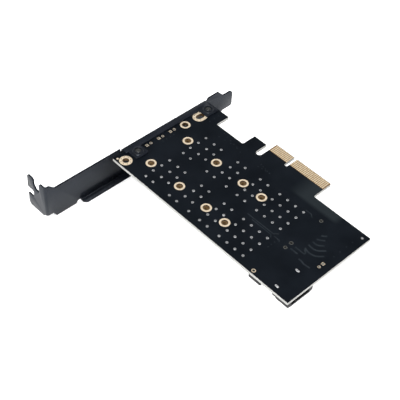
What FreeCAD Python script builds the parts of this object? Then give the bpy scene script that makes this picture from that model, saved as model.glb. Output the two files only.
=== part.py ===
import FreeCAD, Part
import math
import os

# Dual M.2 to PCI Express x4 adapter card with a full-height bracket, in millimetres.
# Origin: centre of the key notch on the contact edge, in the plane of the solder side.
# +X runs from the bracket to the far end, +Y out through the contact edge, +Z out of the solder side.

V = FreeCAD.Vector

# ---- circuit board ----
BOARD_T = 1.57
BOARD_NEAR_X = -56.9
BOARD_FAR_X = 57.05
BOARD_BACK_Y = -67.16
SHOULDER_Y = -12.6
SHOULDER_TAB_Y = -4.23
BRACKET_TAB_X = -42.3
HOOK_TAB_NEAR_X = -23.93
HOOK_TAB_FAR_X = -15.93
INNER_CORNER_R = 0.8
COPPER_T = 0.04

# ---- contact tongue ----
TONGUE_NEAR_SIDE = 12.6
TONGUE_FAR_SIDE = 22.6
KEY_NOTCH_W = 1.9
KEY_NOTCH_DEPTH = 7.95
BEVEL_LENGTH = 0.5
BEVEL_DEG = 20.0
TONGUE_CORNER = 0.6
CONTACT_PITCH = 1.0
CONTACT_W = 0.7
CONTACT_TAIL_Y = -5.7
KEY_TO_CONTACT = 1.5
NEAR_CONTACTS = 11
FAR_CONTACTS = 21

# ---- module places: standard lengths measured from the seated edge of the module ----
MODULE_LENGTHS = (80.0, 60.0, 42.0, 30.0)
MODULE_STOP_X = 37.2
MODULE_CARD_T = 0.8
MODULE_EDGE_W = 19.85
MODULE_SEAT_H = 1.45
SATA_SLOT_Y = -55.4

# ---- plated holes ----
MODULE_HOLE_D = 3.4
MODULE_RING_D = 5.25
RING_SIDES = 16
SPARE_HOLE_X = -52.06
SPARE_HOLE_Y = -24.78
BRACKET_HOLE_D = 3.3
BRACKET_RING_D = 6.4
BRACKET_HOLE_X = -51.87
NEAR_HOLE_RUN = 1.75
NEAR_RING_TO_SCREW = 0.23
FAR_RING_TO_SCREW = 3.28

# ---- tinned heat pads under the modules ----
HEAT_PAD_W = 1.15
HEAT_PAD_PITCH = 5.0
INNER_COLUMNS = (-2.45, 2.87, 7.95)
OUTER_COLUMN = -7.5
INNER_STARTS = (4.35, 10.1, 26.45, 41.5, 54.1)
INNER_COUNTS = (1, 2, 2, 2, 4)
OUTER_STARTS = (4.82, 21.2, 34.3, 41.5, 54.1)
OUTER_COUNTS = (2, 2, 1, 2, 4)

# ---- pads of parts that are left unfitted ----
PIN_PITCH = 2.54
PIN_PAD_W = 1.6
PIN_HOLE_D = 0.9
PAD_SIDES = 8
LED_PADS_X = -53.2
LED_PADS_Y = -48.86
LED_SPACING = 7.62
LED_PLACES = 3
HEADER_X = 52.62
HEADER_Y = -42.38
DOT_D = 1.2
DOT_INSET = 1.6
DOT_SHOULDER_INSET = 2.7

# ---- bracket ----
SHEET_T = 0.86
BRACKET_GAP = 1.29
BRACKET_LENGTH = 120.8
BRACKET_TIP_Y = 14.76
BRACKET_LOW_Z = -17.22
BRACKET_W = 18.42
BEND_R = 0.3
END_BEND_R = 0.64
BEND_STRIP_TOP_Z = 4.1
BEND_STRIP_LOW_Z = -14.4
BEND_STRIP_W = 2.6
STRIP_SLOPE = 3.0
END_TAB_REACH = 12.85
END_TAB_LOW_Z = -15.7
END_TAB_CHAMFER = 1.3
END_TAB_RELIEF_W = 1.2
END_NOTCH_Z = -2.1
END_NOTCH_W = 2.7
END_NOTCH_CORNER_R = 0.4
STUB_W = 4.05
STUB_CHAMFER = 1.1
FINGER_W = 4.6
FINGER_TOP_Z = 3.8
FINGER_CORNER_R = 1.5
FINGER_NECK_RISE = 2.2
FINGER_NECK_R = 2.0
SCREW_SLOT_W = 4.3
SCREW_SLOT_Z = -6.4
SCREW_SLOT_DEPTH = 4.4
SCREW_SLOT_CORNER_R = 1.2
UPPER_FLANGE_START_Y = -60.3
UPPER_FLANGE_END_Y = -5.1
UPPER_FLANGE_W = 4.25
LOWER_FLANGE_START_Y = -85.9
LOWER_FLANGE_W = 3.85
LOWER_FLANGE_CHAMFER = 1.6
RELIEF_W = 1.0
RELIEF_DEPTH = 1.6
FOOT_SHOULDER_Y = 4.2
FOOT_TAPER = 3.9
FOOT_W = 10.2
FOOT_TOP_Z = -2.9
FOOT_CORNER_TOP = 1.5
FOOT_CORNER_LOW = 0.8

# ---- tapped tabs and bracket screws ----
TAB_W = 7.6
TAB_REACH = 10.35
TAB_CORNER = 0.8
SCREW_X = -52.2
FIRST_SCREW_Y = -9.0
SCREW_SPACING = 46.4
COLLAR_D = 4.8
COLLAR_H = 0.9
SCREW_D = 3.0
SCREW_BOARD_CLEARANCE = 0.1
THREAD_CLEARANCE = 0.03
SCREW_HEAD_D = 5.6
SCREW_HEAD_H = 1.9
SCREW_HEAD_BEVEL = 0.6
SCREW_END_DEPTH = 0.35
RECESS_W = 0.7
RECESS_LENGTH = 2.9
RECESS_DEPTH = 1.1

# ---- M.2 sockets ----
PEG_SIDES = 8
SOCKET_FRONT_X = 33.55
SOCKET_DEPTH = 7.25
SOCKET_W = 21.9
SOCKET_GAP = 1.96
SOCKET_H = 3.2
SOCKET_LIFT = 0.15
SOCKET_CHAMFER = 0.5
CARD_CLEARANCE = 0.12
MOUTH_LEAD_IN = 0.4
KEY_RIB_W = 1.0
PIN_STEP = 0.25
PIN_COUNT = 75
NVME_KEY_FIRST_PIN = 59
SATA_KEY_FIRST_PIN = 12
KEY_PINS = 8
PIN_W = 0.2
PIN_TOE = 0.7
PIN_HEEL = 0.5
PEG_X = 35.3
PEG_INSET = 0.95
PEG_LARGE_D = 1.2
PEG_SMALL_D = 1.1
PEG_CLEARANCE = 0.05
PEG_END_DEPTH = 0.35
PEG_RING_W = 0.35
HOLD_DOWN_X = 37.6
HOLD_DOWN_W = 2.0
HOLD_DOWN_H = 1.3
HOLD_DOWN_T = 0.2
HOLD_DOWN_TOE = 0.9

# ---- threaded standoffs ----
STANDOFF_D = 5.0
STANDOFF_SIDES = 12
STANDOFF_BORE_D = 1.6
SPIGOT_H = 1.0
SPIGOT_CLEARANCE = 0.05

# ---- SATA signal connector ----
SATA_Y = -57.54
SATA_FRONT_X = 56.2
SATA_SHELL_DEPTH = 7.2
SATA_TAIL_DEPTH = 2.4
SATA_H = 5.1
SATA_SHELL_W = 15.8
SATA_BEVEL_W = 1.7
SATA_BEVEL_H = 0.75
SATA_TAIL_W = 15.0
SATA_TAIL_H = 4.3
SATA_LIFT = 0.1
SATA_MOUTH_W = 11.3
SATA_MOUTH_LOW_H = 0.9
SATA_MOUTH_TOP_H = 4.2
SATA_MOUTH_DEPTH = 6.0
SATA_BLADE_W = 10.4
SATA_BLADE_T = 1.2
SATA_BLADE_H = 2.1
SATA_BLADE_SETBACK = 0.6
SATA_KEY_LEG_W = 1.2
SATA_KEY_LEG_H = 0.7
SATA_PIN_PITCH = 1.27
SATA_PINS = 7
SATA_PIN_W = 0.6
SATA_PIN_T = 0.15
SATA_PIN_TOE = 1.0
SATA_PIN_SETBACK = 1.1
LOCK_X = 47.83
LOCK_SPACING = 12.97
LOCK_L = 1.8
LOCK_T = 0.4
LOCK_H = 1.2
LOCK_HOLE_CLEARANCE = 0.1
LOCK_SOLDER_L = 2.2
LOCK_SOLDER_W = 1.05
LOCK_SOLDER_T = 0.12
LOCK_SOLDER_END = 0.35

# ---- power parts ----
POWER_X = 49.0
REGULATOR_Y = -23.5
REGULATOR_L = 4.9
REGULATOR_W = 3.9
REGULATOR_H = 1.5
REGULATOR_LIFT = 0.12
LEAD_PITCH = 1.27
LEADS_PER_SIDE = 4
LEAD_W = 0.42
LEAD_T = 0.2
LEAD_REACH = 1.05
LEAD_TOE = 0.5
LEAD_RISE = 0.65
INDUCTOR_Y = -32.0
INDUCTOR_W = 6.6
INDUCTOR_H = 3.0
INDUCTOR_CORNER = 0.9
INDUCTOR_TERMINAL_W = 3.0
INDUCTOR_TERMINAL_T = 0.15
INDUCTOR_TERMINAL_H = 1.6
INDUCTOR_TERMINAL_TOE = 1.4

# ---- chip parts: length, width, height and terminal length of each size ----
BULK_SIZE = (3.2, 2.5, 1.9, 0.55)
BULK_PLACES = ((45.9, -16.9), (50.3, -16.9), (45.9, -39.6))
CHIP_SIZE = (1.6, 0.8, 0.8, 0.3)
RESISTOR_SIZE = (1.6, 0.8, 0.45, 0.3)
LED_SIZE = (1.6, 0.8, 0.6, 0.35)
LED_CHIP_X = 55.2
LED_CHIP_PLACES = (-34.5, -29.5)
COUPLING_FIRST_X = 2.0
COUPLING_PITCH = 2.0
COUPLING_COUNT = 8
COUPLING_SET_BACK = 2.8
BYPASS_SPREAD = 7.4
BYPASS_FRONT_GAP = 2.0
BYPASS_BACK_GAP = 1.9
SIDE_RESISTOR_GAP = 1.3
CHIP_BODY_INSET = 0.03
RESISTOR_X = 55.2
RESISTOR_PLACES = (-25.3, -21.7, -18.1)

# ---- sizes worked out from the ones above ----
COMPONENT_Z = -BOARD_T
NVME_SLOT_Y = SATA_SLOT_Y + SOCKET_W + SOCKET_GAP
SLOT_YS = (SATA_SLOT_Y, NVME_SLOT_Y)
SOCKET_BACK_X = SOCKET_FRONT_X + SOCKET_DEPTH
SATA_BACK_X = SATA_FRONT_X - SATA_SHELL_DEPTH - SATA_TAIL_DEPTH
SHEET_IN_X = BOARD_NEAR_X - BRACKET_GAP
SHEET_OUT_X = SHEET_IN_X - SHEET_T
FLANGE_Z = COPPER_T
END_TAB_Y = BRACKET_TIP_Y - BRACKET_LENGTH
BRACKET_TOP_Z = BRACKET_LOW_Z + BRACKET_W
SCREW_YS = (FIRST_SCREW_Y, FIRST_SCREW_Y - SCREW_SPACING)
COLLAR_TOP_Z = FLANGE_Z + SHEET_T + COLLAR_H


def on_z(z):
    """Places a drawing on a level plane."""
    return lambda a, b: V(a, b, z)


def on_x(x):
    """Places a drawing on a plane across X, its axes along Y and Z."""
    return lambda a, b: V(x, a, b)


def on_y(y):
    """Places a drawing on a plane across Y, its axes along X and Z."""
    return lambda a, b: V(a, y, b)


def corner_run(before, here, after, radius):
    """Start, middle and end of the arc that rounds one corner, or the sharp corner three times."""
    if radius == 0:
        return here, here, here
    back = (before - here).normalize()
    ahead = (after - here).normalize()
    half_angle = back.getAngle(ahead) / 2
    inward = (back + ahead).normalize()
    cut = radius / math.tan(half_angle)
    centre = here + inward * (radius / math.sin(half_angle))
    return here + back * cut, centre - inward * radius, here + ahead * cut


def outline(corners, place):
    """Closed wire through corners (a, b) or (a, b, radius)."""
    points = [V(corner[0], corner[1], 0) for corner in corners]
    radii = [corner[2] if len(corner) > 2 else 0 for corner in corners]
    runs = []
    for i, here in enumerate(points):
        after = points[(i + 1) % len(points)]
        runs.append(corner_run(points[i - 1], here, after, radii[i]))
    edges = []
    for i, (start, middle, end) in enumerate(runs):
        next_start = runs[(i + 1) % len(runs)][0]
        if radii[i] > 0:
            arc = Part.Arc(place(start.x, start.y), place(middle.x, middle.y), place(end.x, end.y))
            edges.append(arc.toShape())
        if end.distanceToPoint(next_start) > 1e-6:
            edges.append(Part.makeLine(place(end.x, end.y), place(next_start.x, next_start.y)))
    return Part.Wire(edges)


def extruded(corners, place, push):
    """Solid of a drawn outline pushed along a vector."""
    return Part.Face(outline(corners, place)).extrude(push)


def box(x0, x1, y0, y1, z0, z1):
    """Block between two values on each axis."""
    return Part.makeBox(x1 - x0, y1 - y0, z1 - z0, V(x0, y0, z0))


def block(x, y, length, width, z0, z1):
    """Block centred on a point."""
    return box(x - length / 2, x + length / 2, y - width / 2, y + width / 2, z0, z1)


def upright(x, y, z0, z1, diameter):
    """Cylinder along Z."""
    return Part.makeCylinder(diameter / 2, z1 - z0, V(x, y, z0))


def turned(profile, x, y):
    """Solid turned about a vertical axis from corners (radius, z)."""
    face = Part.Face(outline(profile, lambda a, b: V(x + a, y, b)))
    return face.revolve(V(x, y, 0), V(0, 0, 1), 360)


def prism(x, y, across, sides, z0, z1):
    """Upright prism on a regular polygon."""
    turns = [2 * math.pi * i / sides for i in range(sides)]
    corners = [(x + across / 2 * math.cos(t), y + across / 2 * math.sin(t)) for t in turns]
    return extruded(corners, on_z(z0), V(0, 0, z1 - z0))


def drill(x, y, diameter):
    """Cutter for a round hole through the board and its copper."""
    return upright(x, y, COMPONENT_Z - 1, 1, diameter)


def small_drill(x, y, diameter, sides):
    """Cutter for a hole with flat sides that clear the given circle."""
    return prism(x, y, diameter / math.cos(math.pi / sides), sides, COMPONENT_Z - 1, 1)


def ring(x, y, hole_d, outer_d, sides):
    """Flat copper ring on the solder side round a hole."""
    return prism(x, y, outer_d, sides, 0, COPPER_T).cut(small_drill(x, y, hole_d, sides))


def long_prism(x, y, across, run, z0, z1):
    """Upright prism whose two halves are a run apart along Y."""
    half_turns = [math.pi * i / (RING_SIDES / 2) for i in range(RING_SIDES // 2 + 1)]
    radius = across / 2
    corners = [(x + radius * math.cos(t), y + run + radius * math.sin(t)) for t in half_turns]
    corners += [(x - radius * math.cos(t), y - radius * math.sin(t)) for t in half_turns]
    return extruded(corners, on_z(z0), V(0, 0, z1 - z0))


def joined(pieces):
    """One solid fused from several."""
    first = pieces[0]
    return first.fuse(pieces[1:]).removeSplitter()


def below(height):
    """Z of a point that stands this high over the component side."""
    return COMPONENT_Z - height


# ---- where things go ----
def module_hole_places():
    """Centres of the eight module fixing holes."""
    return [(MODULE_STOP_X - length, y) for y in SLOT_YS for length in MODULE_LENGTHS]


def long_hole_place():
    """Start of the long open hole that runs under the tapped tab by the hook."""
    far_end = SCREW_YS[0] - SCREW_D / 2 - NEAR_RING_TO_SCREW - BRACKET_RING_D / 2
    return BRACKET_HOLE_X, far_end - NEAR_HOLE_RUN


def round_hole_place():
    """Centre of the round open hole beyond the other tapped tab."""
    return BRACKET_HOLE_X, SCREW_YS[1] - SCREW_D / 2 - FAR_RING_TO_SCREW - BRACKET_RING_D / 2


def heat_pad_rows(starts, counts):
    """Distances of the rows: groups of evenly spaced rows between the module holes."""
    return [start + i * HEAT_PAD_PITCH for start, count in zip(starts, counts) for i in range(count)]


def heat_pad_places():
    """Centres of the heat pads, counted from the hole of the longest module."""
    first_x = MODULE_STOP_X - MODULE_LENGTHS[0]
    places = []
    inner_rows = heat_pad_rows(INNER_STARTS, INNER_COUNTS)
    outer_rows = heat_pad_rows(OUTER_STARTS, OUTER_COUNTS)
    for y in SLOT_YS:
        for offset in INNER_COLUMNS:
            places += [(first_x + row, y + offset) for row in inner_rows]
        places += [(first_x + row, y + OUTER_COLUMN) for row in outer_rows]
    return places


def spare_hole_places():
    """Centre of the spare plated hole beside the bracket."""
    return [(SPARE_HOLE_X, SPARE_HOLE_Y)]


def header_pad_places():
    """Centres of the two pins of the unfitted header."""
    return [(HEADER_X, HEADER_Y + i * PIN_PITCH) for i in range(2)]


def peg_places():
    """Centre and diameter of each locating peg of the sockets."""
    half = SOCKET_W / 2 - PEG_INSET
    return [(PEG_X, y + side * half, PEG_LARGE_D if side < 0 else PEG_SMALL_D)
            for y in SLOT_YS for side in (-1, 1)]


def lock_places():
    """Centres of the two board locks of the SATA connector."""
    return [(LOCK_X, SATA_Y + side * LOCK_SPACING / 2) for side in (-1, 1)]


def led_pad_places():
    """Square pad and round pad of each unfitted LED."""
    squares = [(LED_PADS_X, LED_PADS_Y + i * LED_SPACING) for i in range(LED_PLACES)]
    rounds = [(x, y + PIN_PITCH) for x, y in squares]
    return squares, rounds


# ---- circuit board ----
def tongue_bevel(side):
    """Wedge cut from one face of the tongue along its tip."""
    slope = math.tan(math.radians(BEVEL_DEG))
    over = 1.0
    top = 0.0 if side > 0 else COMPONENT_Z
    corners = [
        (-BEVEL_LENGTH, top),
        (-BEVEL_LENGTH, top + side * over),
        (over, top + side * over),
        (over, top - side * slope * (BEVEL_LENGTH + over)),
    ]
    reach = V(TONGUE_NEAR_SIDE + TONGUE_FAR_SIDE + 2 * over, 0, 0)
    return extruded(corners, on_x(-TONGUE_NEAR_SIDE - over), reach)


def circuit_board():
    """Laminate with its tongue, tabs and every drilled hole."""
    slot_r = (HOOK_TAB_FAR_X + TONGUE_NEAR_SIDE) / -2
    key = KEY_NOTCH_W / 2
    corners = [
        (BOARD_NEAR_X, BOARD_BACK_Y),
        (BOARD_FAR_X, BOARD_BACK_Y),
        (BOARD_FAR_X, SHOULDER_Y),
        (TONGUE_FAR_SIDE, SHOULDER_Y, INNER_CORNER_R),
        (TONGUE_FAR_SIDE, -TONGUE_CORNER),
        (TONGUE_FAR_SIDE - TONGUE_CORNER, 0),
        (key, 0),
        (key, -KEY_NOTCH_DEPTH, key),
        (-key, -KEY_NOTCH_DEPTH, key),
        (-key, 0),
        (TONGUE_CORNER - TONGUE_NEAR_SIDE, 0),
        (-TONGUE_NEAR_SIDE, -TONGUE_CORNER),
        (-TONGUE_NEAR_SIDE, SHOULDER_Y, slot_r),
        (HOOK_TAB_FAR_X, SHOULDER_Y, slot_r),
        (HOOK_TAB_FAR_X, SHOULDER_TAB_Y),
        (HOOK_TAB_NEAR_X, SHOULDER_TAB_Y),
        (HOOK_TAB_NEAR_X, SHOULDER_Y, INNER_CORNER_R),
        (BRACKET_TAB_X, SHOULDER_Y, INNER_CORNER_R),
        (BRACKET_TAB_X, SHOULDER_TAB_Y),
        (BOARD_NEAR_X, SHOULDER_TAB_Y),
    ]
    board = extruded(corners, on_z(COMPONENT_Z), V(0, 0, BOARD_T))
    cuts = [small_drill(x, y, MODULE_HOLE_D, RING_SIDES) for x, y in module_hole_places() + spare_hole_places()]
    long_x, long_y = long_hole_place()
    long_across = BRACKET_HOLE_D / math.cos(math.pi / RING_SIDES)
    cuts.append(long_prism(long_x, long_y, long_across, NEAR_HOLE_RUN, COMPONENT_Z - 1, 1))
    cuts.append(drill(*round_hole_place(), BRACKET_HOLE_D))
    cuts += [drill(SCREW_X, y, SCREW_D + 2 * SCREW_BOARD_CLEARANCE) for y in SCREW_YS]
    cuts += [small_drill(x, y, d + 2 * PEG_CLEARANCE, PEG_SIDES) for x, y, d in peg_places()]
    squares, rounds = led_pad_places()
    pins = squares + rounds + header_pad_places()
    cuts += [small_drill(x, y, PIN_HOLE_D, PAD_SIDES) for x, y in pins]
    slot_l = LOCK_L + 2 * LOCK_HOLE_CLEARANCE
    slot_w = LOCK_T + 2 * LOCK_HOLE_CLEARANCE
    cuts += [block(x, y, slot_l, slot_w, COMPONENT_Z - 1, 1) for x, y in lock_places()]
    cuts += [tongue_bevel(1), tongue_bevel(-1)]
    return board.cut(cuts)


def edge_contacts(z0):
    """Gold contacts of one face: one group on each side of the key notch."""
    near = [-KEY_TO_CONTACT - i * CONTACT_PITCH for i in range(NEAR_CONTACTS)]
    far = [KEY_TO_CONTACT + i * CONTACT_PITCH for i in range(FAR_CONTACTS)]
    half = CONTACT_W / 2
    return [box(x - half, x + half, CONTACT_TAIL_Y, -BEVEL_LENGTH, z0, z0 + COPPER_T) for x in near + far]


def plated_rings(places, hole_d):
    """Gold rings round plated holes on the solder side."""
    return [ring(x, y, hole_d, MODULE_RING_D, RING_SIDES) for x, y in places]


def bracket_hole_rings():
    """Larger gold rings round the two holes for another bracket."""
    long_x, long_y = long_hole_place()
    long_across = BRACKET_HOLE_D / math.cos(math.pi / RING_SIDES)
    long_ring = long_prism(long_x, long_y, BRACKET_RING_D, NEAR_HOLE_RUN, 0, COPPER_T)
    long_ring = long_ring.cut(long_prism(long_x, long_y, long_across, NEAR_HOLE_RUN, COMPONENT_Z - 1, 1))
    return [long_ring, ring(*round_hole_place(), BRACKET_HOLE_D, BRACKET_RING_D, RING_SIDES)]


def heat_pads():
    """Tinned pads that carry heat through the board."""
    return [block(x, y, HEAT_PAD_W, HEAT_PAD_W, 0, COPPER_T) for x, y in heat_pad_places()]


def square_pad(x, y):
    """Square pad round a pin hole."""
    pad = block(x, y, PIN_PAD_W, PIN_PAD_W, 0, COPPER_T)
    return pad.cut(small_drill(x, y, PIN_HOLE_D, PAD_SIDES))


def round_pad(x, y):
    """Round pad at a pin hole."""
    return ring(x, y, PIN_HOLE_D, PIN_PAD_W, PAD_SIDES)


def led_pads():
    """Pads of the unfitted LEDs beside the bracket."""
    squares, rounds = led_pad_places()
    return [square_pad(x, y) for x, y in squares] + [round_pad(x, y) for x, y in rounds]


def header_pads():
    """Pads of the unfitted two-pin header: the first pin is the square one."""
    second, first = header_pad_places()
    return [round_pad(*second), square_pad(*first)]


def peg_rings():
    """Thin rings round the peg holes of the sockets."""
    rings = []
    for x, y, diameter in peg_places():
        hole = diameter + 2 * PEG_CLEARANCE
        rings.append(ring(x, y, hole, hole + 2 * PEG_RING_W, PEG_SIDES))
    return rings


def alignment_dots():
    """Bare tinned dots that the placing machine looks for."""
    near = prism(BOARD_NEAR_X + DOT_INSET, BOARD_BACK_Y + DOT_INSET, DOT_D, PAD_SIDES, 0, COPPER_T)
    far = prism(BOARD_FAR_X - DOT_SHOULDER_INSET, SHOULDER_Y - DOT_SHOULDER_INSET, DOT_D, PAD_SIDES, 0, COPPER_T)
    return [near, far]


# ---- bracket ----
def quarter_bend(a, b, start_deg, inner_r, place, push):
    """Quarter turn of sheet about the centre (a, b), from a start angle, pushed along the fold."""
    outer_r = inner_r + SHEET_T

    def point(radius, turn):
        angle = math.radians(start_deg + turn)
        return place(a + radius * math.cos(angle), b + radius * math.sin(angle))

    edges = [
        Part.Arc(point(outer_r, 0), point(outer_r, 45), point(outer_r, 90)).toShape(),
        Part.makeLine(point(outer_r, 90), point(inner_r, 90)),
        Part.Arc(point(inner_r, 90), point(inner_r, 45), point(inner_r, 0)).toShape(),
        Part.makeLine(point(inner_r, 0), point(outer_r, 0)),
    ]
    return Part.Face(Part.Wire(edges)).extrude(push)


def bracket_plate():
    """The long flat of the bracket, from the end fold to the tip of the foot."""
    start = END_TAB_Y + SHEET_T + END_BEND_R
    strip_end = END_TAB_Y + BEND_STRIP_W
    flange_fold = FLANGE_Z - BEND_R
    lower_fold = BRACKET_LOW_Z + SHEET_T + BEND_R
    relief_top = flange_fold - (RELIEF_DEPTH - SHEET_T - BEND_R)
    relief_low = BRACKET_LOW_Z + RELIEF_DEPTH
    upper_slope = strip_end + STRIP_SLOPE
    lower_relief = LOWER_FLANGE_START_Y - 2 * RELIEF_W
    foot_low = FOOT_TOP_Z - FOOT_W
    corners = [
        (start, BEND_STRIP_TOP_Z),
        (strip_end, BEND_STRIP_TOP_Z),
        (upper_slope, BRACKET_TOP_Z),
        (UPPER_FLANGE_START_Y - RELIEF_W, BRACKET_TOP_Z),
        (UPPER_FLANGE_START_Y - RELIEF_W, relief_top),
        (UPPER_FLANGE_START_Y, relief_top),
        (UPPER_FLANGE_START_Y, flange_fold),
        (UPPER_FLANGE_END_Y, flange_fold),
        (UPPER_FLANGE_END_Y, relief_top),
        (UPPER_FLANGE_END_Y + RELIEF_W, relief_top),
        (UPPER_FLANGE_END_Y + 2 * RELIEF_W, BRACKET_TOP_Z),
        (FOOT_SHOULDER_Y, BRACKET_TOP_Z),
        (FOOT_SHOULDER_Y + FOOT_TAPER, FOOT_TOP_Z),
        (BRACKET_TIP_Y - FOOT_CORNER_TOP, FOOT_TOP_Z),
        (BRACKET_TIP_Y, FOOT_TOP_Z - FOOT_CORNER_TOP),
        (BRACKET_TIP_Y, foot_low + FOOT_CORNER_LOW),
        (BRACKET_TIP_Y - FOOT_CORNER_LOW, foot_low),
        (FOOT_SHOULDER_Y + FOOT_TAPER, foot_low),
        (FOOT_SHOULDER_Y, BRACKET_LOW_Z),
        (UPPER_FLANGE_END_Y + 2 * RELIEF_W, BRACKET_LOW_Z),
        (UPPER_FLANGE_END_Y + RELIEF_W, relief_low),
        (UPPER_FLANGE_END_Y, relief_low),
        (UPPER_FLANGE_END_Y, lower_fold),
        (LOWER_FLANGE_START_Y, lower_fold),
        (LOWER_FLANGE_START_Y, relief_low),
        (lower_relief, relief_low),
        (lower_relief - RELIEF_W, BRACKET_LOW_Z),
        (upper_slope, BRACKET_LOW_Z),
        (strip_end + RELIEF_W, BEND_STRIP_LOW_Z),
        (start, BEND_STRIP_LOW_Z),
    ]
    return extruded(corners, on_x(SHEET_OUT_X), V(SHEET_T, 0, 0))


def end_tab():
    """The tab at the screw end, folded outwards, with its screw slot and finger."""
    fold = SHEET_OUT_X - END_BEND_R
    outer = SHEET_OUT_X - END_TAB_REACH
    stub = SHEET_OUT_X - STUB_W
    finger = outer + FINGER_W
    low = END_TAB_LOW_Z
    slot_low = SCREW_SLOT_Z - SCREW_SLOT_W / 2
    slot_top = SCREW_SLOT_Z + SCREW_SLOT_W / 2
    slot_end = outer + SCREW_SLOT_DEPTH
    notch_end = stub - END_NOTCH_W
    corners = [
        (fold, BEND_STRIP_TOP_Z),
        (stub + STUB_CHAMFER, BEND_STRIP_TOP_Z),
        (stub, BEND_STRIP_TOP_Z - STUB_CHAMFER),
        (stub, END_NOTCH_Z, END_NOTCH_CORNER_R),
        (notch_end, END_NOTCH_Z, END_NOTCH_CORNER_R),
        (finger, END_NOTCH_Z + FINGER_NECK_RISE, FINGER_NECK_R),
        (finger, FINGER_TOP_Z, FINGER_CORNER_R),
        (outer, FINGER_TOP_Z, FINGER_CORNER_R),
        (outer, slot_top),
        (slot_end, slot_top, SCREW_SLOT_CORNER_R),
        (slot_end, slot_low, SCREW_SLOT_CORNER_R),
        (outer, slot_low),
        (outer, low + END_TAB_CHAMFER),
        (outer + END_TAB_CHAMFER, low),
        (fold - END_TAB_RELIEF_W, low),
        (fold, BEND_STRIP_LOW_Z),
    ]
    return extruded(corners, on_y(END_TAB_Y), V(0, SHEET_T, 0))


def end_bend():
    """Fold between the plate and the end tab."""
    push = V(0, 0, BEND_STRIP_TOP_Z - BEND_STRIP_LOW_Z)
    centre_x = SHEET_OUT_X - END_BEND_R
    centre_y = END_TAB_Y + SHEET_T + END_BEND_R
    return quarter_bend(centre_x, centre_y, 270, END_BEND_R, on_z(BEND_STRIP_LOW_Z), push)


def upper_flange():
    """Flange that lies on the solder side, with the fold that joins it to the plate."""
    length = UPPER_FLANGE_END_Y - UPPER_FLANGE_START_Y
    edge = SHEET_OUT_X + UPPER_FLANGE_W
    fold_x = SHEET_IN_X + BEND_R
    flat = box(fold_x, edge, UPPER_FLANGE_START_Y, UPPER_FLANGE_END_Y, FLANGE_Z, FLANGE_Z + SHEET_T)
    place = on_y(UPPER_FLANGE_START_Y)
    fold = quarter_bend(fold_x, FLANGE_Z - BEND_R, 90, BEND_R, place, V(0, length, 0))
    return [flat, fold]


def tapped_tab(y):
    """Tab that reaches in from the flange, with the drawn collar that takes the screw."""
    edge = SHEET_OUT_X + TAB_REACH
    half = TAB_W / 2
    corners = [
        (SHEET_IN_X + BEND_R, y - half),
        (edge, y - half, TAB_CORNER),
        (edge, y + half, TAB_CORNER),
        (SHEET_IN_X + BEND_R, y + half),
    ]
    flat = extruded(corners, on_z(FLANGE_Z), V(0, 0, SHEET_T))
    return [flat, upright(SCREW_X, y, FLANGE_Z, COLLAR_TOP_Z, COLLAR_D)]


def lower_flange():
    """Stiffening flange along the other long edge, with its fold."""
    length = UPPER_FLANGE_END_Y - LOWER_FLANGE_START_Y
    edge = SHEET_OUT_X + LOWER_FLANGE_W
    fold_x = SHEET_IN_X + BEND_R
    corners = [
        (fold_x, LOWER_FLANGE_START_Y),
        (edge - LOWER_FLANGE_CHAMFER, LOWER_FLANGE_START_Y),
        (edge, LOWER_FLANGE_START_Y + LOWER_FLANGE_CHAMFER),
        (edge, UPPER_FLANGE_END_Y - LOWER_FLANGE_CHAMFER),
        (edge - LOWER_FLANGE_CHAMFER, UPPER_FLANGE_END_Y),
        (fold_x, UPPER_FLANGE_END_Y),
    ]
    flat = extruded(corners, on_z(BRACKET_LOW_Z), V(0, 0, SHEET_T))
    place = on_y(LOWER_FLANGE_START_Y)
    centre_z = BRACKET_LOW_Z + SHEET_T + BEND_R
    fold = quarter_bend(fold_x, centre_z, 180, BEND_R, place, V(0, length, 0))
    return [flat, fold]


def bracket():
    """The whole bracket: one folded sheet with two tapped collars."""
    pieces = [bracket_plate(), end_bend(), end_tab()] + upper_flange() + lower_flange()
    for y in SCREW_YS:
        pieces += tapped_tab(y)
    sheet = joined(pieces)
    bore = SCREW_D + 2 * THREAD_CLEARANCE
    return sheet.cut([upright(SCREW_X, y, FLANGE_Z - 1, COLLAR_TOP_Z + 1, bore) for y in SCREW_YS])


def bracket_screws():
    """Pan-head screws from the component side into the tapped collars."""
    screws = []
    radius = SCREW_D / 2
    head = SCREW_HEAD_D / 2
    top = below(SCREW_HEAD_H)
    for y in SCREW_YS:
        profile = [
            (0, COLLAR_TOP_Z - SCREW_END_DEPTH),
            (radius, COLLAR_TOP_Z - SCREW_END_DEPTH),
            (radius, COMPONENT_Z),
            (head, COMPONENT_Z),
            (head, top + SCREW_HEAD_BEVEL),
            (head - SCREW_HEAD_BEVEL, top),
            (0, top),
        ]
        cross = [
            block(SCREW_X, y, RECESS_LENGTH, RECESS_W, top - 1, top + RECESS_DEPTH),
            block(SCREW_X, y, RECESS_W, RECESS_LENGTH, top - 1, top + RECESS_DEPTH),
        ]
        screws.append(turned(profile, SCREW_X, y).cut(cross))
    return screws


# ---- M.2 sockets ----
def pin_offset(pin):
    """Distance of a pin from the middle of its socket; odd and even pins take turns."""
    return (pin - (PIN_COUNT + 1) / 2) * PIN_STEP


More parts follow.
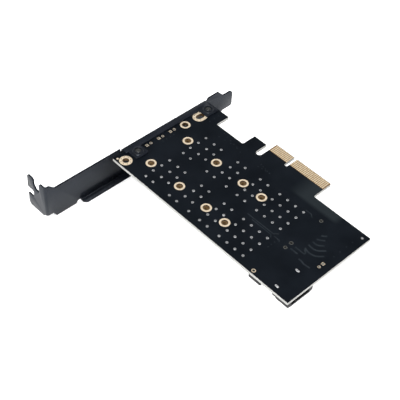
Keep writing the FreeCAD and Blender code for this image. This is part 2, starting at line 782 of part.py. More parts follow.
def m2_housing(slot_y, key_first_pin):
    """Moulded socket: chamfered bar with a card mouth, a key rib and two pegs."""
    half = SOCKET_W / 2
    low = below(SOCKET_LIFT)
    top = below(SOCKET_H)
    corners = [
        (SOCKET_FRONT_X, low),
        (SOCKET_FRONT_X, top),
        (SOCKET_BACK_X - SOCKET_CHAMFER, top),
        (SOCKET_BACK_X, top + SOCKET_CHAMFER),
        (SOCKET_BACK_X, low),
    ]
    body = extruded(corners, on_y(slot_y - half), V(0, SOCKET_W, 0))
    mouth_low = below(MODULE_SEAT_H - CARD_CLEARANCE)
    mouth_top = below(MODULE_SEAT_H + MODULE_CARD_T + CARD_CLEARANCE)
    mouth_end = MODULE_STOP_X + CARD_CLEARANCE
    reach = MODULE_EDGE_W / 2 + CARD_CLEARANCE
    key_y = slot_y + pin_offset(key_first_pin + (KEY_PINS - 1) / 2)
    front = SOCKET_FRONT_X - 1
    cuts = [
        box(front, mouth_end, slot_y - reach, key_y - KEY_RIB_W / 2, mouth_top, mouth_low),
        box(front, mouth_end, key_y + KEY_RIB_W / 2, slot_y + reach, mouth_top, mouth_low),
    ]
    lead_in = [
        (SOCKET_FRONT_X - 1, mouth_low + 1 + MOUTH_LEAD_IN),
        (SOCKET_FRONT_X + MOUTH_LEAD_IN, mouth_low),
        (SOCKET_FRONT_X + MOUTH_LEAD_IN, mouth_top),
        (SOCKET_FRONT_X - 1, mouth_top - 1 - MOUTH_LEAD_IN),
    ]
    cuts.append(extruded(lead_in, on_y(slot_y - reach), V(0, 2 * reach, 0)))
    for side in (-1, 1):
        outer = slot_y + side * (half + 1)
        inner = slot_y + side * (half - HOLD_DOWN_TOE)
        cuts.append(box(
            HOLD_DOWN_X - HOLD_DOWN_W / 2, HOLD_DOWN_X + HOLD_DOWN_W / 2,
            min(inner, outer), max(inner, outer), below(HOLD_DOWN_H), COMPONENT_Z + 1))
    body = body.cut(cuts)
    pegs = [prism(x, y, d, PEG_SIDES, low, -PEG_END_DEPTH) for x, y, d in peg_places() if abs(y - slot_y) < half]
    return joined([body] + pegs)


def m2_contacts(slot_y, key_first_pin):
    """Solder feet of the pins: even pins under the mouth, odd pins at the back."""
    feet = []
    half = PIN_W / 2
    for pin in range(1, PIN_COUNT + 1):
        if key_first_pin <= pin < key_first_pin + KEY_PINS:
            continue
        y = slot_y + pin_offset(pin)
        if pin % 2:
            start = SOCKET_BACK_X - PIN_HEEL
            end = SOCKET_BACK_X + PIN_TOE
        else:
            start = SOCKET_FRONT_X - PIN_TOE
            end = SOCKET_FRONT_X + PIN_HEEL
        feet.append(box(start, end, y - half, y + half, below(SOCKET_LIFT), COMPONENT_Z))
    return feet


def m2_hold_downs(slot_y):
    """Bent metal tabs that solder the ends of a socket to the board."""
    tabs = []
    for side in (-1, 1):
        wall = slot_y + side * (SOCKET_W / 2 - HOLD_DOWN_TOE)
        corners = [
            (wall, COMPONENT_Z),
            (wall + side * HOLD_DOWN_TOE, COMPONENT_Z),
            (wall + side * HOLD_DOWN_TOE, below(HOLD_DOWN_T)),
            (wall + side * HOLD_DOWN_T, below(HOLD_DOWN_T)),
            (wall + side * HOLD_DOWN_T, below(HOLD_DOWN_H)),
            (wall, below(HOLD_DOWN_H)),
        ]
        tabs.append(extruded(corners, on_x(HOLD_DOWN_X - HOLD_DOWN_W / 2), V(HOLD_DOWN_W, 0, 0)))
    return tabs


def standoffs():
    """Threaded standoffs: a collar on the component side and a spigot in the plated hole."""
    seat = below(MODULE_SEAT_H)
    spigot_top = COMPONENT_Z + SPIGOT_H
    spigot_d = MODULE_HOLE_D - 2 * SPIGOT_CLEARANCE
    posts = []
    for x, y in module_hole_places():
        collar = prism(x, y, STANDOFF_D, STANDOFF_SIDES, seat, COMPONENT_Z)
        spigot = prism(x, y, spigot_d, STANDOFF_SIDES, COMPONENT_Z, spigot_top)
        bore = upright(x, y, seat - 1, spigot_top + 1, STANDOFF_BORE_D)
        posts.append(collar.fuse(spigot).cut(bore))
    return posts


# ---- SATA signal connector ----
def sata_contacts():
    """Seven bent contacts: a strip on the blade, a drop behind the body and a solder foot."""
    contacts = []
    first = SATA_Y - (SATA_PINS - 1) / 2 * SATA_PIN_PITCH
    strip = below(SATA_BLADE_H - SATA_PIN_T)
    tail = SATA_BACK_X - SATA_PIN_T
    for i in range(SATA_PINS):
        corners = [
            (SATA_FRONT_X - SATA_PIN_SETBACK, strip),
            (SATA_FRONT_X - SATA_PIN_SETBACK, strip - SATA_PIN_T),
            (tail, strip - SATA_PIN_T),
            (tail, below(SATA_PIN_T)),
            (tail - SATA_PIN_TOE, below(SATA_PIN_T)),
            (tail - SATA_PIN_TOE, COMPONENT_Z),
            (SATA_BACK_X, COMPONENT_Z),
            (SATA_BACK_X, strip),
        ]
        start = first + i * SATA_PIN_PITCH - SATA_PIN_W / 2
        contacts.append(extruded(corners, on_y(start), V(0, SATA_PIN_W, 0)))
    return contacts


def sata_locks():
    """Blades that pass through the board and hold the connector down."""
    return [block(x, y, LOCK_L, LOCK_T, below(LOCK_H), 0) for x, y in lock_places()]


def sata_housing():
    """Bevelled shell and its narrower tail, with a keyed blade and seats for the metal parts."""
    half = SATA_SHELL_W / 2
    corners = [
        (SATA_Y - half, below(SATA_LIFT)),
        (SATA_Y + half, below(SATA_LIFT)),
        (SATA_Y + half, below(SATA_H - SATA_BEVEL_H)),
        (SATA_Y + half - SATA_BEVEL_W, below(SATA_H)),
        (SATA_Y - half + SATA_BEVEL_W, below(SATA_H)),
        (SATA_Y - half, below(SATA_H - SATA_BEVEL_H)),
    ]
    shell_x = SATA_FRONT_X - SATA_SHELL_DEPTH
    shell = extruded(corners, on_x(shell_x), V(SATA_SHELL_DEPTH, 0, 0))
    tail_half = SATA_TAIL_W / 2
    tail = box(
        SATA_BACK_X, shell_x, SATA_Y - tail_half, SATA_Y + tail_half, below(SATA_TAIL_H), below(SATA_LIFT))
    mouth_end = SATA_FRONT_X - SATA_MOUTH_DEPTH
    mouth_half = SATA_MOUTH_W / 2
    mouth = box(
        mouth_end, SATA_FRONT_X + 1, SATA_Y - mouth_half, SATA_Y + mouth_half,
        below(SATA_MOUTH_TOP_H), below(SATA_MOUTH_LOW_H))
    blade_half = SATA_BLADE_W / 2
    blade_top = SATA_BLADE_H + SATA_BLADE_T
    blade = box(
        mouth_end, SATA_FRONT_X - SATA_BLADE_SETBACK, SATA_Y - blade_half, SATA_Y + blade_half,
        below(blade_top), below(SATA_BLADE_H))
    leg = box(
        mouth_end, SATA_FRONT_X - SATA_BLADE_SETBACK,
        SATA_Y + blade_half - SATA_KEY_LEG_W, SATA_Y + blade_half,
        below(SATA_BLADE_H), below(SATA_BLADE_H - SATA_KEY_LEG_H))
    shell = joined([shell.cut(mouth), tail, blade, leg])
    return shell.cut(sata_contacts() + sata_locks())


def sata_lock_solder():
    """Solder over the ends of the board locks."""
    half_l = LOCK_SOLDER_L / 2
    half_w = LOCK_SOLDER_W / 2
    end = half_l - LOCK_SOLDER_END
    side = half_w - LOCK_SOLDER_END
    rim = [(half_l, side), (end, half_w), (-end, half_w), (-half_l, side)]
    rim += [(-half_l, -side), (-end, -half_w), (end, -half_w), (half_l, -side)]
    caps = []
    for x, y in lock_places():
        corners = [(x + a, y + b) for a, b in rim]
        caps.append(extruded(corners, on_z(0), V(0, 0, LOCK_SOLDER_T)))
    return caps


# ---- power parts and chips ----
def regulator_body():
    """Moulded body of the voltage regulator."""
    low = below(REGULATOR_LIFT)
    body = block(POWER_X, REGULATOR_Y, REGULATOR_W, REGULATOR_L, below(REGULATOR_H), low)
    return body


def regulator_leads():
    """Gull-wing leads along both long sides of the regulator."""
    leads = []
    first = REGULATOR_Y - (LEADS_PER_SIDE - 1) / 2 * LEAD_PITCH
    for side in (-1, 1):
        wall = POWER_X + side * REGULATOR_W / 2
        tip = wall + side * LEAD_REACH
        knee = tip - side * LEAD_TOE
        corners = [
            (wall, below(LEAD_RISE)),
            (knee + side * LEAD_T, below(LEAD_RISE)),
            (knee + side * LEAD_T, below(LEAD_T)),
            (tip, below(LEAD_T)),
            (tip, COMPONENT_Z),
            (knee, COMPONENT_Z),
            (knee, below(LEAD_RISE - LEAD_T)),
            (wall, below(LEAD_RISE - LEAD_T)),
        ]
        for i in range(LEADS_PER_SIDE):
            start = first + i * LEAD_PITCH - LEAD_W / 2
            leads.append(extruded(corners, on_y(start), V(0, LEAD_W, 0)))
    return leads


def inductor_core():
    """Moulded power inductor with cut corners, standing on its terminals."""
    half = INDUCTOR_W / 2
    cut = half - INDUCTOR_CORNER
    ring = [(half, -cut), (half, cut), (cut, half), (-cut, half), (-half, cut), (-half, -cut), (-cut, -half), (cut, -half)]
    corners = [(POWER_X + x, INDUCTOR_Y + y) for x, y in ring]
    top = below(INDUCTOR_H)
    return extruded(corners, on_z(top), V(0, 0, INDUCTOR_H - INDUCTOR_TERMINAL_T))


def inductor_terminals():
    """Bent strips at two sides of the inductor."""
    terminals = []
    for side in (-1, 1):
        wall = INDUCTOR_Y + side * INDUCTOR_W / 2
        corners = [
            (wall, below(INDUCTOR_TERMINAL_H)),
            (wall + side * INDUCTOR_TERMINAL_T, below(INDUCTOR_TERMINAL_H)),
            (wall + side * INDUCTOR_TERMINAL_T, COMPONENT_Z),
            (wall - side * INDUCTOR_TERMINAL_TOE, COMPONENT_Z),
            (wall - side * INDUCTOR_TERMINAL_TOE, below(INDUCTOR_TERMINAL_T)),
            (wall, below(INDUCTOR_TERMINAL_T)),
        ]
        start = POWER_X - INDUCTOR_TERMINAL_W / 2
        terminals.append(extruded(corners, on_x(start), V(INDUCTOR_TERMINAL_W, 0, 0)))
    return terminals


def chip_bodies(places, size):
    """Middle blocks of chip parts that lie along Y."""
    length, width, height, terminal = size
    inset = CHIP_BODY_INSET
    return [
        block(x, y, width - 2 * inset, length - 2 * terminal, below(height - inset), below(inset))
        for x, y in places
    ]


def chip_terminals(places, size):
    """Tinned ends of chip parts that lie along Y."""
    length, width, height, terminal = size
    middle = (length - terminal) / 2
    return [
        block(x, y + side * middle, width, terminal, below(height), COMPONENT_Z)
        for x, y in places for side in (-1, 1)
    ]


def capacitor_places():
    """Coupling capacitors behind the contact tongue and bypass capacitors round the sockets."""
    y = SHOULDER_Y - COUPLING_SET_BACK
    places = [(COUPLING_FIRST_X + i * COUPLING_PITCH, y) for i in range(COUPLING_COUNT)]
    for slot_y in SLOT_YS:
        for side in (-1, 1):
            places.append((SOCKET_FRONT_X - BYPASS_FRONT_GAP, slot_y + side * BYPASS_SPREAD))
            places.append((SOCKET_BACK_X + BYPASS_BACK_GAP, slot_y + side * BYPASS_SPREAD))
    return places


def resistor_places():
    """Resistors beside the status LEDs and behind each socket."""
    places = [(RESISTOR_X, y) for y in RESISTOR_PLACES]
    places += [(SOCKET_BACK_X + BYPASS_BACK_GAP, y + side * SIDE_RESISTOR_GAP) for y in SLOT_YS for side in (-1, 1)]
    return places


def led_places():
    """Status LEDs along the far edge."""
    return [(LED_CHIP_X, y) for y in LED_CHIP_PLACES]


def save(name, pieces):
    """Writes one node; several pieces stay separate solids in it."""
    shape = Part.makeCompound(pieces) if isinstance(pieces, list) else pieces
    shape.exportStep(os.path.join("parts", name + ".step"))


os.makedirs("parts", exist_ok=True)
save("circuit_board", circuit_board())
save("edge_contacts_solder_side", edge_contacts(0))
save("edge_contacts_component_side", edge_contacts(COMPONENT_Z - COPPER_T))
save("module_hole_rings", plated_rings(module_hole_places(), MODULE_HOLE_D))
save("spare_hole_ring", plated_rings(spare_hole_places(), MODULE_HOLE_D))
save("bracket_hole_rings", bracket_hole_rings())
save("heat_pads", heat_pads())
save("led_pads", led_pads())
save("header_pads", header_pads())
save("peg_rings", peg_rings())
save("alignment_dots", alignment_dots())
save("bracket", bracket())
save("bracket_screws", bracket_screws())
save("nvme_socket_housing", m2_housing(NVME_SLOT_Y, NVME_KEY_FIRST_PIN))
save("nvme_socket_contacts", m2_contacts(NVME_SLOT_Y, NVME_KEY_FIRST_PIN))
save("nvme_socket_hold_downs", m2_hold_downs(NVME_SLOT_Y))
save("sata_socket_housing", m2_housing(SATA_SLOT_Y, SATA_KEY_FIRST_PIN))
save("sata_socket_contacts", m2_contacts(SATA_SLOT_Y, SATA_KEY_FIRST_PIN))
save("sata_socket_hold_downs", m2_hold_downs(SATA_SLOT_Y))
save("module_standoffs", standoffs())
save("sata_connector_housing", sata_housing())
save("sata_connector_contacts", sata_contacts())
save("sata_connector_locks", sata_locks())
save("sata_lock_solder", sata_lock_solder())
save("regulator_body", regulator_body())
save("regulator_leads", regulator_leads())
save("inductor_core", inductor_core())
save("inductor_terminals", inductor_terminals())
save("bulk_capacitor_bodies", chip_bodies(BULK_PLACES, BULK_SIZE))
save("bulk_capacitor_terminals", chip_terminals(BULK_PLACES, BULK_SIZE))
save("capacitor_bodies", chip_bodies(capacitor_places(), CHIP_SIZE))
save("capacitor_terminals", chip_terminals(capacitor_places(), CHIP_SIZE))
save("resistor_bodies", chip_bodies(resistor_places(), RESISTOR_SIZE))
save("resistor_terminals", chip_terminals(resistor_places(), RESISTOR_SIZE))
save("status_led_bodies", chip_bodies(led_places(), LED_SIZE))
save("status_led_terminals", chip_terminals(led_places(), LED_SIZE))
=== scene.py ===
# %% [markdown]
# # A dual storage adapter card in its studio
# The card is a black circuit board on a black folded bracket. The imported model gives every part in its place,
# so this lesson loads it first and never moves it. It then dresses each part: a finish made of nodes for what
# already has the right shape, and a finer piece made with mesh tools for what the plain solids leave out.

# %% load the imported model
import bmesh
import bpy
import math
from mathutils import Matrix, Vector


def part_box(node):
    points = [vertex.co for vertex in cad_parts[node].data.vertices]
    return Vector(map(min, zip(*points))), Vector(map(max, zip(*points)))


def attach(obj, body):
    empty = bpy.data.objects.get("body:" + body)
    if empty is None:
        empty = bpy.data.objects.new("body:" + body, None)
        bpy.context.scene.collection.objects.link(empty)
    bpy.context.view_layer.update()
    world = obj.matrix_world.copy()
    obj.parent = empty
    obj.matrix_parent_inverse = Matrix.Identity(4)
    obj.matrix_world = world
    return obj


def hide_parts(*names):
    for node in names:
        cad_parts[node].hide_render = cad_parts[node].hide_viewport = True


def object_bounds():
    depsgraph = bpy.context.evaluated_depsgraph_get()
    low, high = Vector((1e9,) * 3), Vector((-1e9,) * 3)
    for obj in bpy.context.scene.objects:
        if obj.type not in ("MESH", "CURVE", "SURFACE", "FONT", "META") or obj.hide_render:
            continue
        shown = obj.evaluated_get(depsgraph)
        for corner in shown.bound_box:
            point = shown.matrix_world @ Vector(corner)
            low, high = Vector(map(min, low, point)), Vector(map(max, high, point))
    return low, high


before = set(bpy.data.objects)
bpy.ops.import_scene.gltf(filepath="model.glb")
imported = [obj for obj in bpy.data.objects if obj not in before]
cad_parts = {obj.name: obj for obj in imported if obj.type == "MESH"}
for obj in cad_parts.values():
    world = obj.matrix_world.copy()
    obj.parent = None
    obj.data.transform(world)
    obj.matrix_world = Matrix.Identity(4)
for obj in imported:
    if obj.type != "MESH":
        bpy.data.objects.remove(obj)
solid_box = [list(corner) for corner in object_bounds()]
MM = 0.001
ORIGIN = (0, 0, 0)
UPRIGHT = (0, 0, 1)
print("nodes:", len(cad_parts), "box in metres:", solid_box)

# %% [markdown]
# ## Camera
# Cards are shown with a long lens from half above, so that parallel edges stay nearly parallel. The camera is
# set by its place and turn, so the view is the same on every run.

# %% camera
CAMERA_PLACE = (0.19873, -0.27314, 0.32007)
CAMERA_TURN_DEG = (43.3124, -2.8294, 46.6623)
LENS = 86.42
SENSOR_W = 36.0
SEEN_FROM, SEEN_TO = 0.01, 20.0

camera_data = bpy.data.cameras.new("camera")
camera_data.lens = LENS
camera_data.sensor_width = SENSOR_W
camera_data.clip_start = SEEN_FROM
camera_data.clip_end = SEEN_TO
camera = bpy.data.objects.new("camera", camera_data)
camera.location = CAMERA_PLACE
camera.rotation_euler = [math.radians(turn) for turn in CAMERA_TURN_DEG]
bpy.context.scene.collection.objects.link(camera)
bpy.context.scene.camera = camera
bpy.context.scene.view_settings.view_transform = "Standard"
print("camera lens:", LENS)

# %% [markdown]
# ## Floor and background
# The card lies on a pale floor in a white studio. The floor is one large plane with a matt finish that
# glows a little to the camera only. Stronger lamps would make the card paler too, and this way the floor
# still takes the card's soft shadow.

# %% floor
FLOOR_SIZE = 6.0
FLOOR_COLOUR = (0.86, 0.86, 0.86, 1)
FLOOR_ROUGHNESS = 0.9
FLOOR_GLOW = 0.7
FLOOR_DROP = 0.00002
WHITE = (1, 1, 1, 1)


def put(node, values):
    """Sets the sockets of a shader node, by name or number."""
    for socket, value in values.items():
        node.inputs[socket].default_value = value


def stage_floor(height):
    """A large plane under the object, with a pale matt finish that glows a little to the camera."""
    material = bpy.data.materials.new("studio_floor")
    material.use_nodes = True
    tree = material.node_tree
    surface = tree.nodes["Principled BSDF"]
    put(surface, {
        "Base Color": FLOOR_COLOUR, "Roughness": FLOOR_ROUGHNESS, "Specular IOR Level": 0.0,
        "Emission Color": WHITE})
    rays = tree.nodes.new("ShaderNodeLightPath")
    glow = tree.nodes.new("ShaderNodeMath")
    glow.operation = "MULTIPLY"
    put(glow, {1: FLOOR_GLOW})
    tree.links.new(rays.outputs["Is Camera Ray"], glow.inputs[0])
    tree.links.new(glow.outputs[0], surface.inputs["Emission Strength"])
    mesh = bpy.data.meshes.new("studio_floor")
    bm = bmesh.new()
    bmesh.ops.create_grid(bm, x_segments=1, y_segments=1, size=FLOOR_SIZE / 2)
    bmesh.ops.translate(bm, verts=bm.verts, vec=(0, 0, height))
    bm.to_mesh(mesh)
    bm.free()
    floor = bpy.data.objects.new("studio_floor", mesh)
    mesh.materials.append(material)
    bpy.context.scene.collection.objects.link(floor)


stage_floor(solid_box[0][2] - FLOOR_DROP)
print("floor height in mm:", solid_box[0][2] / MM)

# %% [markdown]
# ## World
# The world is the light that comes from all round. A studio for dark glossy things is bright at the sides and
# dim overhead, so that upright faces stand out and level ones stay deep. A gradient on the direction's height
# does that with a few nodes. The camera itself sees plain white.

# %% world
WORLD_LEVEL = 0.5
OVERHEAD_SHARE = 0.1
OVERHEAD_FROM = 0.6


def level_of(tree, kind, first, second):
    """A number worked out from two others."""
    step = tree.nodes.new("ShaderNodeMath")
    step.operation = kind
    for socket, value in zip(step.inputs, (first, second)):
        if isinstance(value, float):
            socket.default_value = value
        else:
            tree.links.new(value, socket)
    return step.outputs[0]


def ranged(tree, value, ends):
    """A number that runs between the given ends as another one runs between its own."""
    run = tree.nodes.new("ShaderNodeMapRange")
    put(run, ends)
    tree.links.new(value, run.inputs["Value"])
    return run.outputs["Result"]


def light_world():
    """White to the camera, and for all else a surround that is bright at the horizon and dim overhead."""
    world = bpy.data.worlds.new("studio_world")
    bpy.context.scene.world = world
    world.use_nodes = True
    tree = world.node_tree
    background = tree.nodes["Background"]
    put(background, {"Color": WHITE})
    rays = tree.nodes.new("ShaderNodeLightPath")
    direction = tree.nodes.new("ShaderNodeTexCoord")
    parts = tree.nodes.new("ShaderNodeSeparateXYZ")
    tree.links.new(direction.outputs["Generated"], parts.inputs[0])
    surround = ranged(
        tree, parts.outputs["Z"], {"From Max": OVERHEAD_FROM, "To Min": 1.0, "To Max": OVERHEAD_SHARE})
    shiny = level_of(
        tree, "MAXIMUM", rays.outputs["Is Glossy Ray"], rays.outputs["Is Transmission Ray"])
    share = level_of(tree, "MAXIMUM", shiny, WORLD_LEVEL)
    level = level_of(tree, "MULTIPLY", surround, share)
    strength = level_of(tree, "MAXIMUM", level, rays.outputs["Is Camera Ray"])
    tree.links.new(strength, background.inputs["Strength"])


light_world()
print("world level:", WORLD_LEVEL)

# %% [markdown]
# ## Lamps
# Three large soft lamps do the work of studio soft boxes, all turned to the middle of the card. The key lamp
# brightens the end tab and the foot of the bracket. The side lamp throws the board's shadow on the floor that
# the long plate mirrors, so the plate fades towards the board. The top lamp is weak and only fills. The first
# two are hidden from mirror rays, because a flat glossy board seen at a low angle would turn white.

# %% lamps
LAMPS = (
    ("key_lamp", (-0.30, -0.80, 0.62), 0.9, 13.0, False),
    ("side_lamp", (0.74, 0.46, 0.38), 0.55, 7.5, False),
    ("top_lamp", (0.0, -0.12, 0.95), 0.4, 3.3, True),
)


def soft_lamp(name, place, size, power, mirrored):
    """A square area lamp facing the middle of the card."""
    lamp = bpy.data.lights.new(name, "AREA")
    lamp.size = size
    lamp.energy = power
    holder = bpy.data.objects.new(name, lamp)
    holder.location = place
    holder.visible_glossy = mirrored
    middle = (Vector(solid_box[0]) + Vector(solid_box[1])) / 2
    holder.rotation_euler = (middle - Vector(place)).to_track_quat("-Z", "Y").to_euler()
    bpy.context.scene.collection.objects.link(holder)


for lamp_facts in LAMPS:
    soft_lamp(*lamp_facts)
print("lamps:", len(LAMPS))

# %% [markdown]
# ## Building finishes
# Every finish starts from the Principled shader. Cloudy noise in object space mixes two nearby colours, a
# finer noise gives the surface its grain through a bump, and a third varies the gloss. Scales are in spots
# per metre, so 1000 is one spot per millimetre.

# %% finish helpers
GLOSS_SHARE = 2.3


def new_finish(name):
    """A new material, with its node tree and its shader."""
    material = bpy.data.materials.new(name)
    material.use_nodes = True
    tree = material.node_tree
    return material, tree, tree.nodes["Principled BSDF"]


def noise(tree, scale, detail=3.0):
    """Cloudy noise on object coordinates."""
    place = tree.nodes.new("ShaderNodeTexCoord")
    texture = tree.nodes.new("ShaderNodeTexNoise")
    put(texture, {"Scale": scale, "Detail": detail})
    tree.links.new(place.outputs["Object"], texture.inputs["Vector"])
    return texture.outputs["Fac"]


def between(tree, factor, low, high, start=0.35, end=0.65):
    """A colour that runs from low to high as the factor goes from start to end."""
    ramp = tree.nodes.new("ShaderNodeValToRGB")
    ramp.color_ramp.elements[0].position = start
    ramp.color_ramp.elements[0].color = (*low, 1)
    ramp.color_ramp.elements[1].position = end
    ramp.color_ramp.elements[1].color = (*high, 1)
    tree.links.new(factor, ramp.inputs["Fac"])
    return ramp.outputs["Color"]


def relief(tree, surface, height, depth):
    """Bumps of the given depth in metres."""
    bump = tree.nodes.new("ShaderNodeBump")
    put(bump, {"Strength": 1.0, "Distance": depth})
    tree.links.new(height, bump.inputs["Height"])
    tree.links.new(bump.outputs["Normal"], surface.inputs["Normal"])


def plain_finish(name, low, high, cloud, grain, depth, gloss, metal=0.0, specular=0.5):
    """The shared recipe: two clouded colours, a grain bump and a varied gloss."""
    material, tree, surface = new_finish(name)
    tree.links.new(between(tree, noise(tree, cloud), low, high), surface.inputs["Base Color"])
    smooth, rough = gloss
    spots = noise(tree, cloud * GLOSS_SHARE)
    tree.links.new(ranged(tree, spots, {"To Min": smooth, "To Max": rough}), surface.inputs["Roughness"])
    relief(tree, surface, noise(tree, grain), depth)
    put(surface, {"Metallic": metal, "Specular IOR Level": specular})
    return material


print("finish helpers ready")

# %% [markdown]
# ## Finishes of the card's parts
# Pale gold covers the contacts and rings, tin the pads, brass the standoffs and bright solder the joints.
# Thin plating on copper is rougher than solid metal and scatters part of the light, so these finishes are
# only partly metallic, which also keeps them from going black where the studio is dim.

# %% finishes
gold = plain_finish(
    "gold_plating", (0.80, 0.62, 0.40), (0.93, 0.77, 0.54), 900, 9000, 4e-6, (0.3, 0.45), metal=0.45)
pale_gold = plain_finish(
    "pale_gold_ring", (0.68, 0.55, 0.39), (0.84, 0.72, 0.55), 1200, 7000, 6e-6, (0.35, 0.5), metal=0.25)
pad_gold = plain_finish(
    "pad_gold", (0.64, 0.52, 0.37), (0.82, 0.70, 0.53), 1200, 7000, 6e-6, (0.35, 0.5), metal=0.5)
dull_copper = plain_finish(
    "dull_ring", (0.07, 0.07, 0.065), (0.13, 0.13, 0.12), 1200, 6000, 6e-6, (0.35, 0.55), metal=0.3)
# The linings take a much darker copy of the gold: painted shade for the inside of a hole.
shaded_lining_gold = plain_finish(
    "hole_lining", (0.12, 0.065, 0.026), (0.20, 0.12, 0.055), 1500, 7000, 8e-6, (0.3, 0.5), metal=0.6)
tin = plain_finish(
    "tin_plating", (0.50, 0.51, 0.53), (0.80, 0.81, 0.82), 1500, 6000, 8e-6, (0.25, 0.45), metal=0.7)
solder = plain_finish(
    "solder", (0.62, 0.63, 0.65), (0.86, 0.87, 0.88), 1200, 5000, 6e-6, (0.2, 0.35), metal=0.7)
brass = plain_finish(
    "turned_brass", (0.30, 0.185, 0.08), (0.45, 0.29, 0.145), 800, 8000, 4e-6, (0.3, 0.45), metal=0.8)
bronze = plain_finish(
    "contact_metal", (0.55, 0.44, 0.28), (0.75, 0.63, 0.44), 1500, 8000, 4e-6, (0.2, 0.35), metal=1.0)
print("metal finishes:", len(bpy.data.materials) - 1)

# %% [markdown]
# ## Dark finishes
# Nearly everything else on the card is black, and each black is a little different: the paint is satin and
# bluish, in its gloss too, the screws are blackened steel, and the plastics are matt with a moulded grain.
# The covered copper is board mask seen over a trace, so it is only a shade paler than the board.

# %% dark finishes
COOL_GLOSS = (0.80, 0.88, 1.0, 1)
paint = plain_finish(
    "black_bracket_paint", (0.0085, 0.0105, 0.015), (0.0125, 0.015, 0.021), 150, 3200, 8e-6, (0.20, 0.27))
collar_paint = plain_finish(
    "collar_paint", (0.008, 0.0095, 0.012), (0.013, 0.015, 0.019), 300, 3000, 8e-6, (0.16, 0.24),
    specular=0.6)
black_steel = plain_finish(
    "blackened_steel", (0.012, 0.012, 0.013), (0.030, 0.030, 0.032), 900, 6000, 6e-6, (0.2, 0.32), metal=0.6)
# The screw ends take a paler copy of the screw steel: a painted highlight on the dome.
screw_end_painted_light = plain_finish(
    "screw_end_painted_light", (0.10, 0.105, 0.10), (0.17, 0.175, 0.17), 900, 6000, 5e-6, (0.2, 0.3), metal=0.8)
housing = plain_finish(
    "black_housing_plastic", (0.010, 0.010, 0.011), (0.017, 0.017, 0.018), 500, 5200, 1.4e-5, (0.42, 0.6))
mould = plain_finish(
    "chip_mould", (0.016, 0.016, 0.017), (0.028, 0.028, 0.030), 700, 9000, 1.6e-5, (0.5, 0.7))
ferrite = plain_finish(
    "inductor_ferrite", (0.035, 0.035, 0.037), (0.065, 0.064, 0.064), 900, 7000, 3e-5, (0.5, 0.75))
ceramic = plain_finish("tan_ceramic", (0.26, 0.17, 0.10), (0.36, 0.25, 0.15), 1500, 9000, 6e-6, (0.35, 0.5))
resistor_film = plain_finish(
    "resistor_film", (0.008, 0.008, 0.010), (0.018, 0.018, 0.02), 1500, 9000, 6e-6, (0.3, 0.45))
lens = plain_finish("led_lens", (0.62, 0.60, 0.50), (0.78, 0.77, 0.68), 1500, 6000, 5e-6, (0.2, 0.35))
covered_copper = plain_finish(
    "covered_copper", (0.013, 0.018, 0.023), (0.021, 0.027, 0.033), 300, 2400, 5e-6, (0.32, 0.4),
    specular=0.2)
# Painted shade: a near-black finish laid where the inside of a hole or dip is in shade.
hole_shade = plain_finish(
    "hole_shadow", (0.006, 0.006, 0.006), (0.02, 0.018, 0.015), 2500, 9000, 5e-6, (0.6, 0.8), specular=0.1)
for cool in (paint, collar_paint):
    put(cool.node_tree.nodes["Principled BSDF"], {"Specular Tint": COOL_GLOSS})
print("finishes:", len(bpy.data.materials))

# %% [markdown]
# ## The circuit board's finish
# A board is woven glass and resin with a thin coat of solder mask on both faces, nearly black and slightly
# glossy. The cut edge isn't coated, so it shows the pale resin in thin layers. One finish does both: the
# height in the board decides between mask and bare edge.

# %% board finish
BOARD_LOW, BOARD_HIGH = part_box("circuit_board")
COAT_T = 0.03 * MM
TONGUE_BARE_Y = -5.9
TONGUE_NEAR_X = -12.7
TONGUE_RUN = 0.02
LIGHTER_PATCH_X = 15.0
LIGHTER_PATCH_END_X = 40.0
LIGHTER_PATCH_Y = -17.5
LIGHTER_PATCH_RUN_NEAR, LIGHTER_PATCH_RUN_END, LIGHTER_PATCH_RUN_Y = 8.0, 3.0, 2.0
LIGHTER_PATCH_COLOUR = (0.017, 0.022, 0.026)
MASK_COLOURS = (0.0030, 0.0046, 0.0072), (0.0062, 0.0086, 0.0125)
RESIN_COLOURS = (0.40, 0.40, 0.38), (0.66, 0.66, 0.64)
BARE_COLOURS = (0.15, 0.088, 0.042), (0.23, 0.145, 0.072)
MASK_ROUGHNESS, EDGE_ROUGHNESS = 0.34, 0.8
MASK_SPECULAR = 0.18
MASK_CLOUD, BARE_CLOUD, BOARD_GRAIN = 60, 1500, 2400
BOARD_RELIEF = 5e-6


def step_up(tree, value, place, width):
    """Zero before a place and one after it, with a run of the given width."""
    return ranged(tree, value, {"From Min": place - width / 2, "From Max": place + width / 2})


def blended(tree, factor, first, second):
    """The first colour where the factor is zero and the second where it is one."""
    mix = tree.nodes.new("ShaderNodeMix")
    mix.data_type = "RGBA"
    tree.links.new(factor, mix.inputs["Factor"])
    for socket, colour in ((mix.inputs[6], first), (mix.inputs[7], second)):
        if isinstance(colour, tuple):
            socket.default_value = (*colour, 1)
        else:
            tree.links.new(colour, socket)
    return mix.outputs[2]


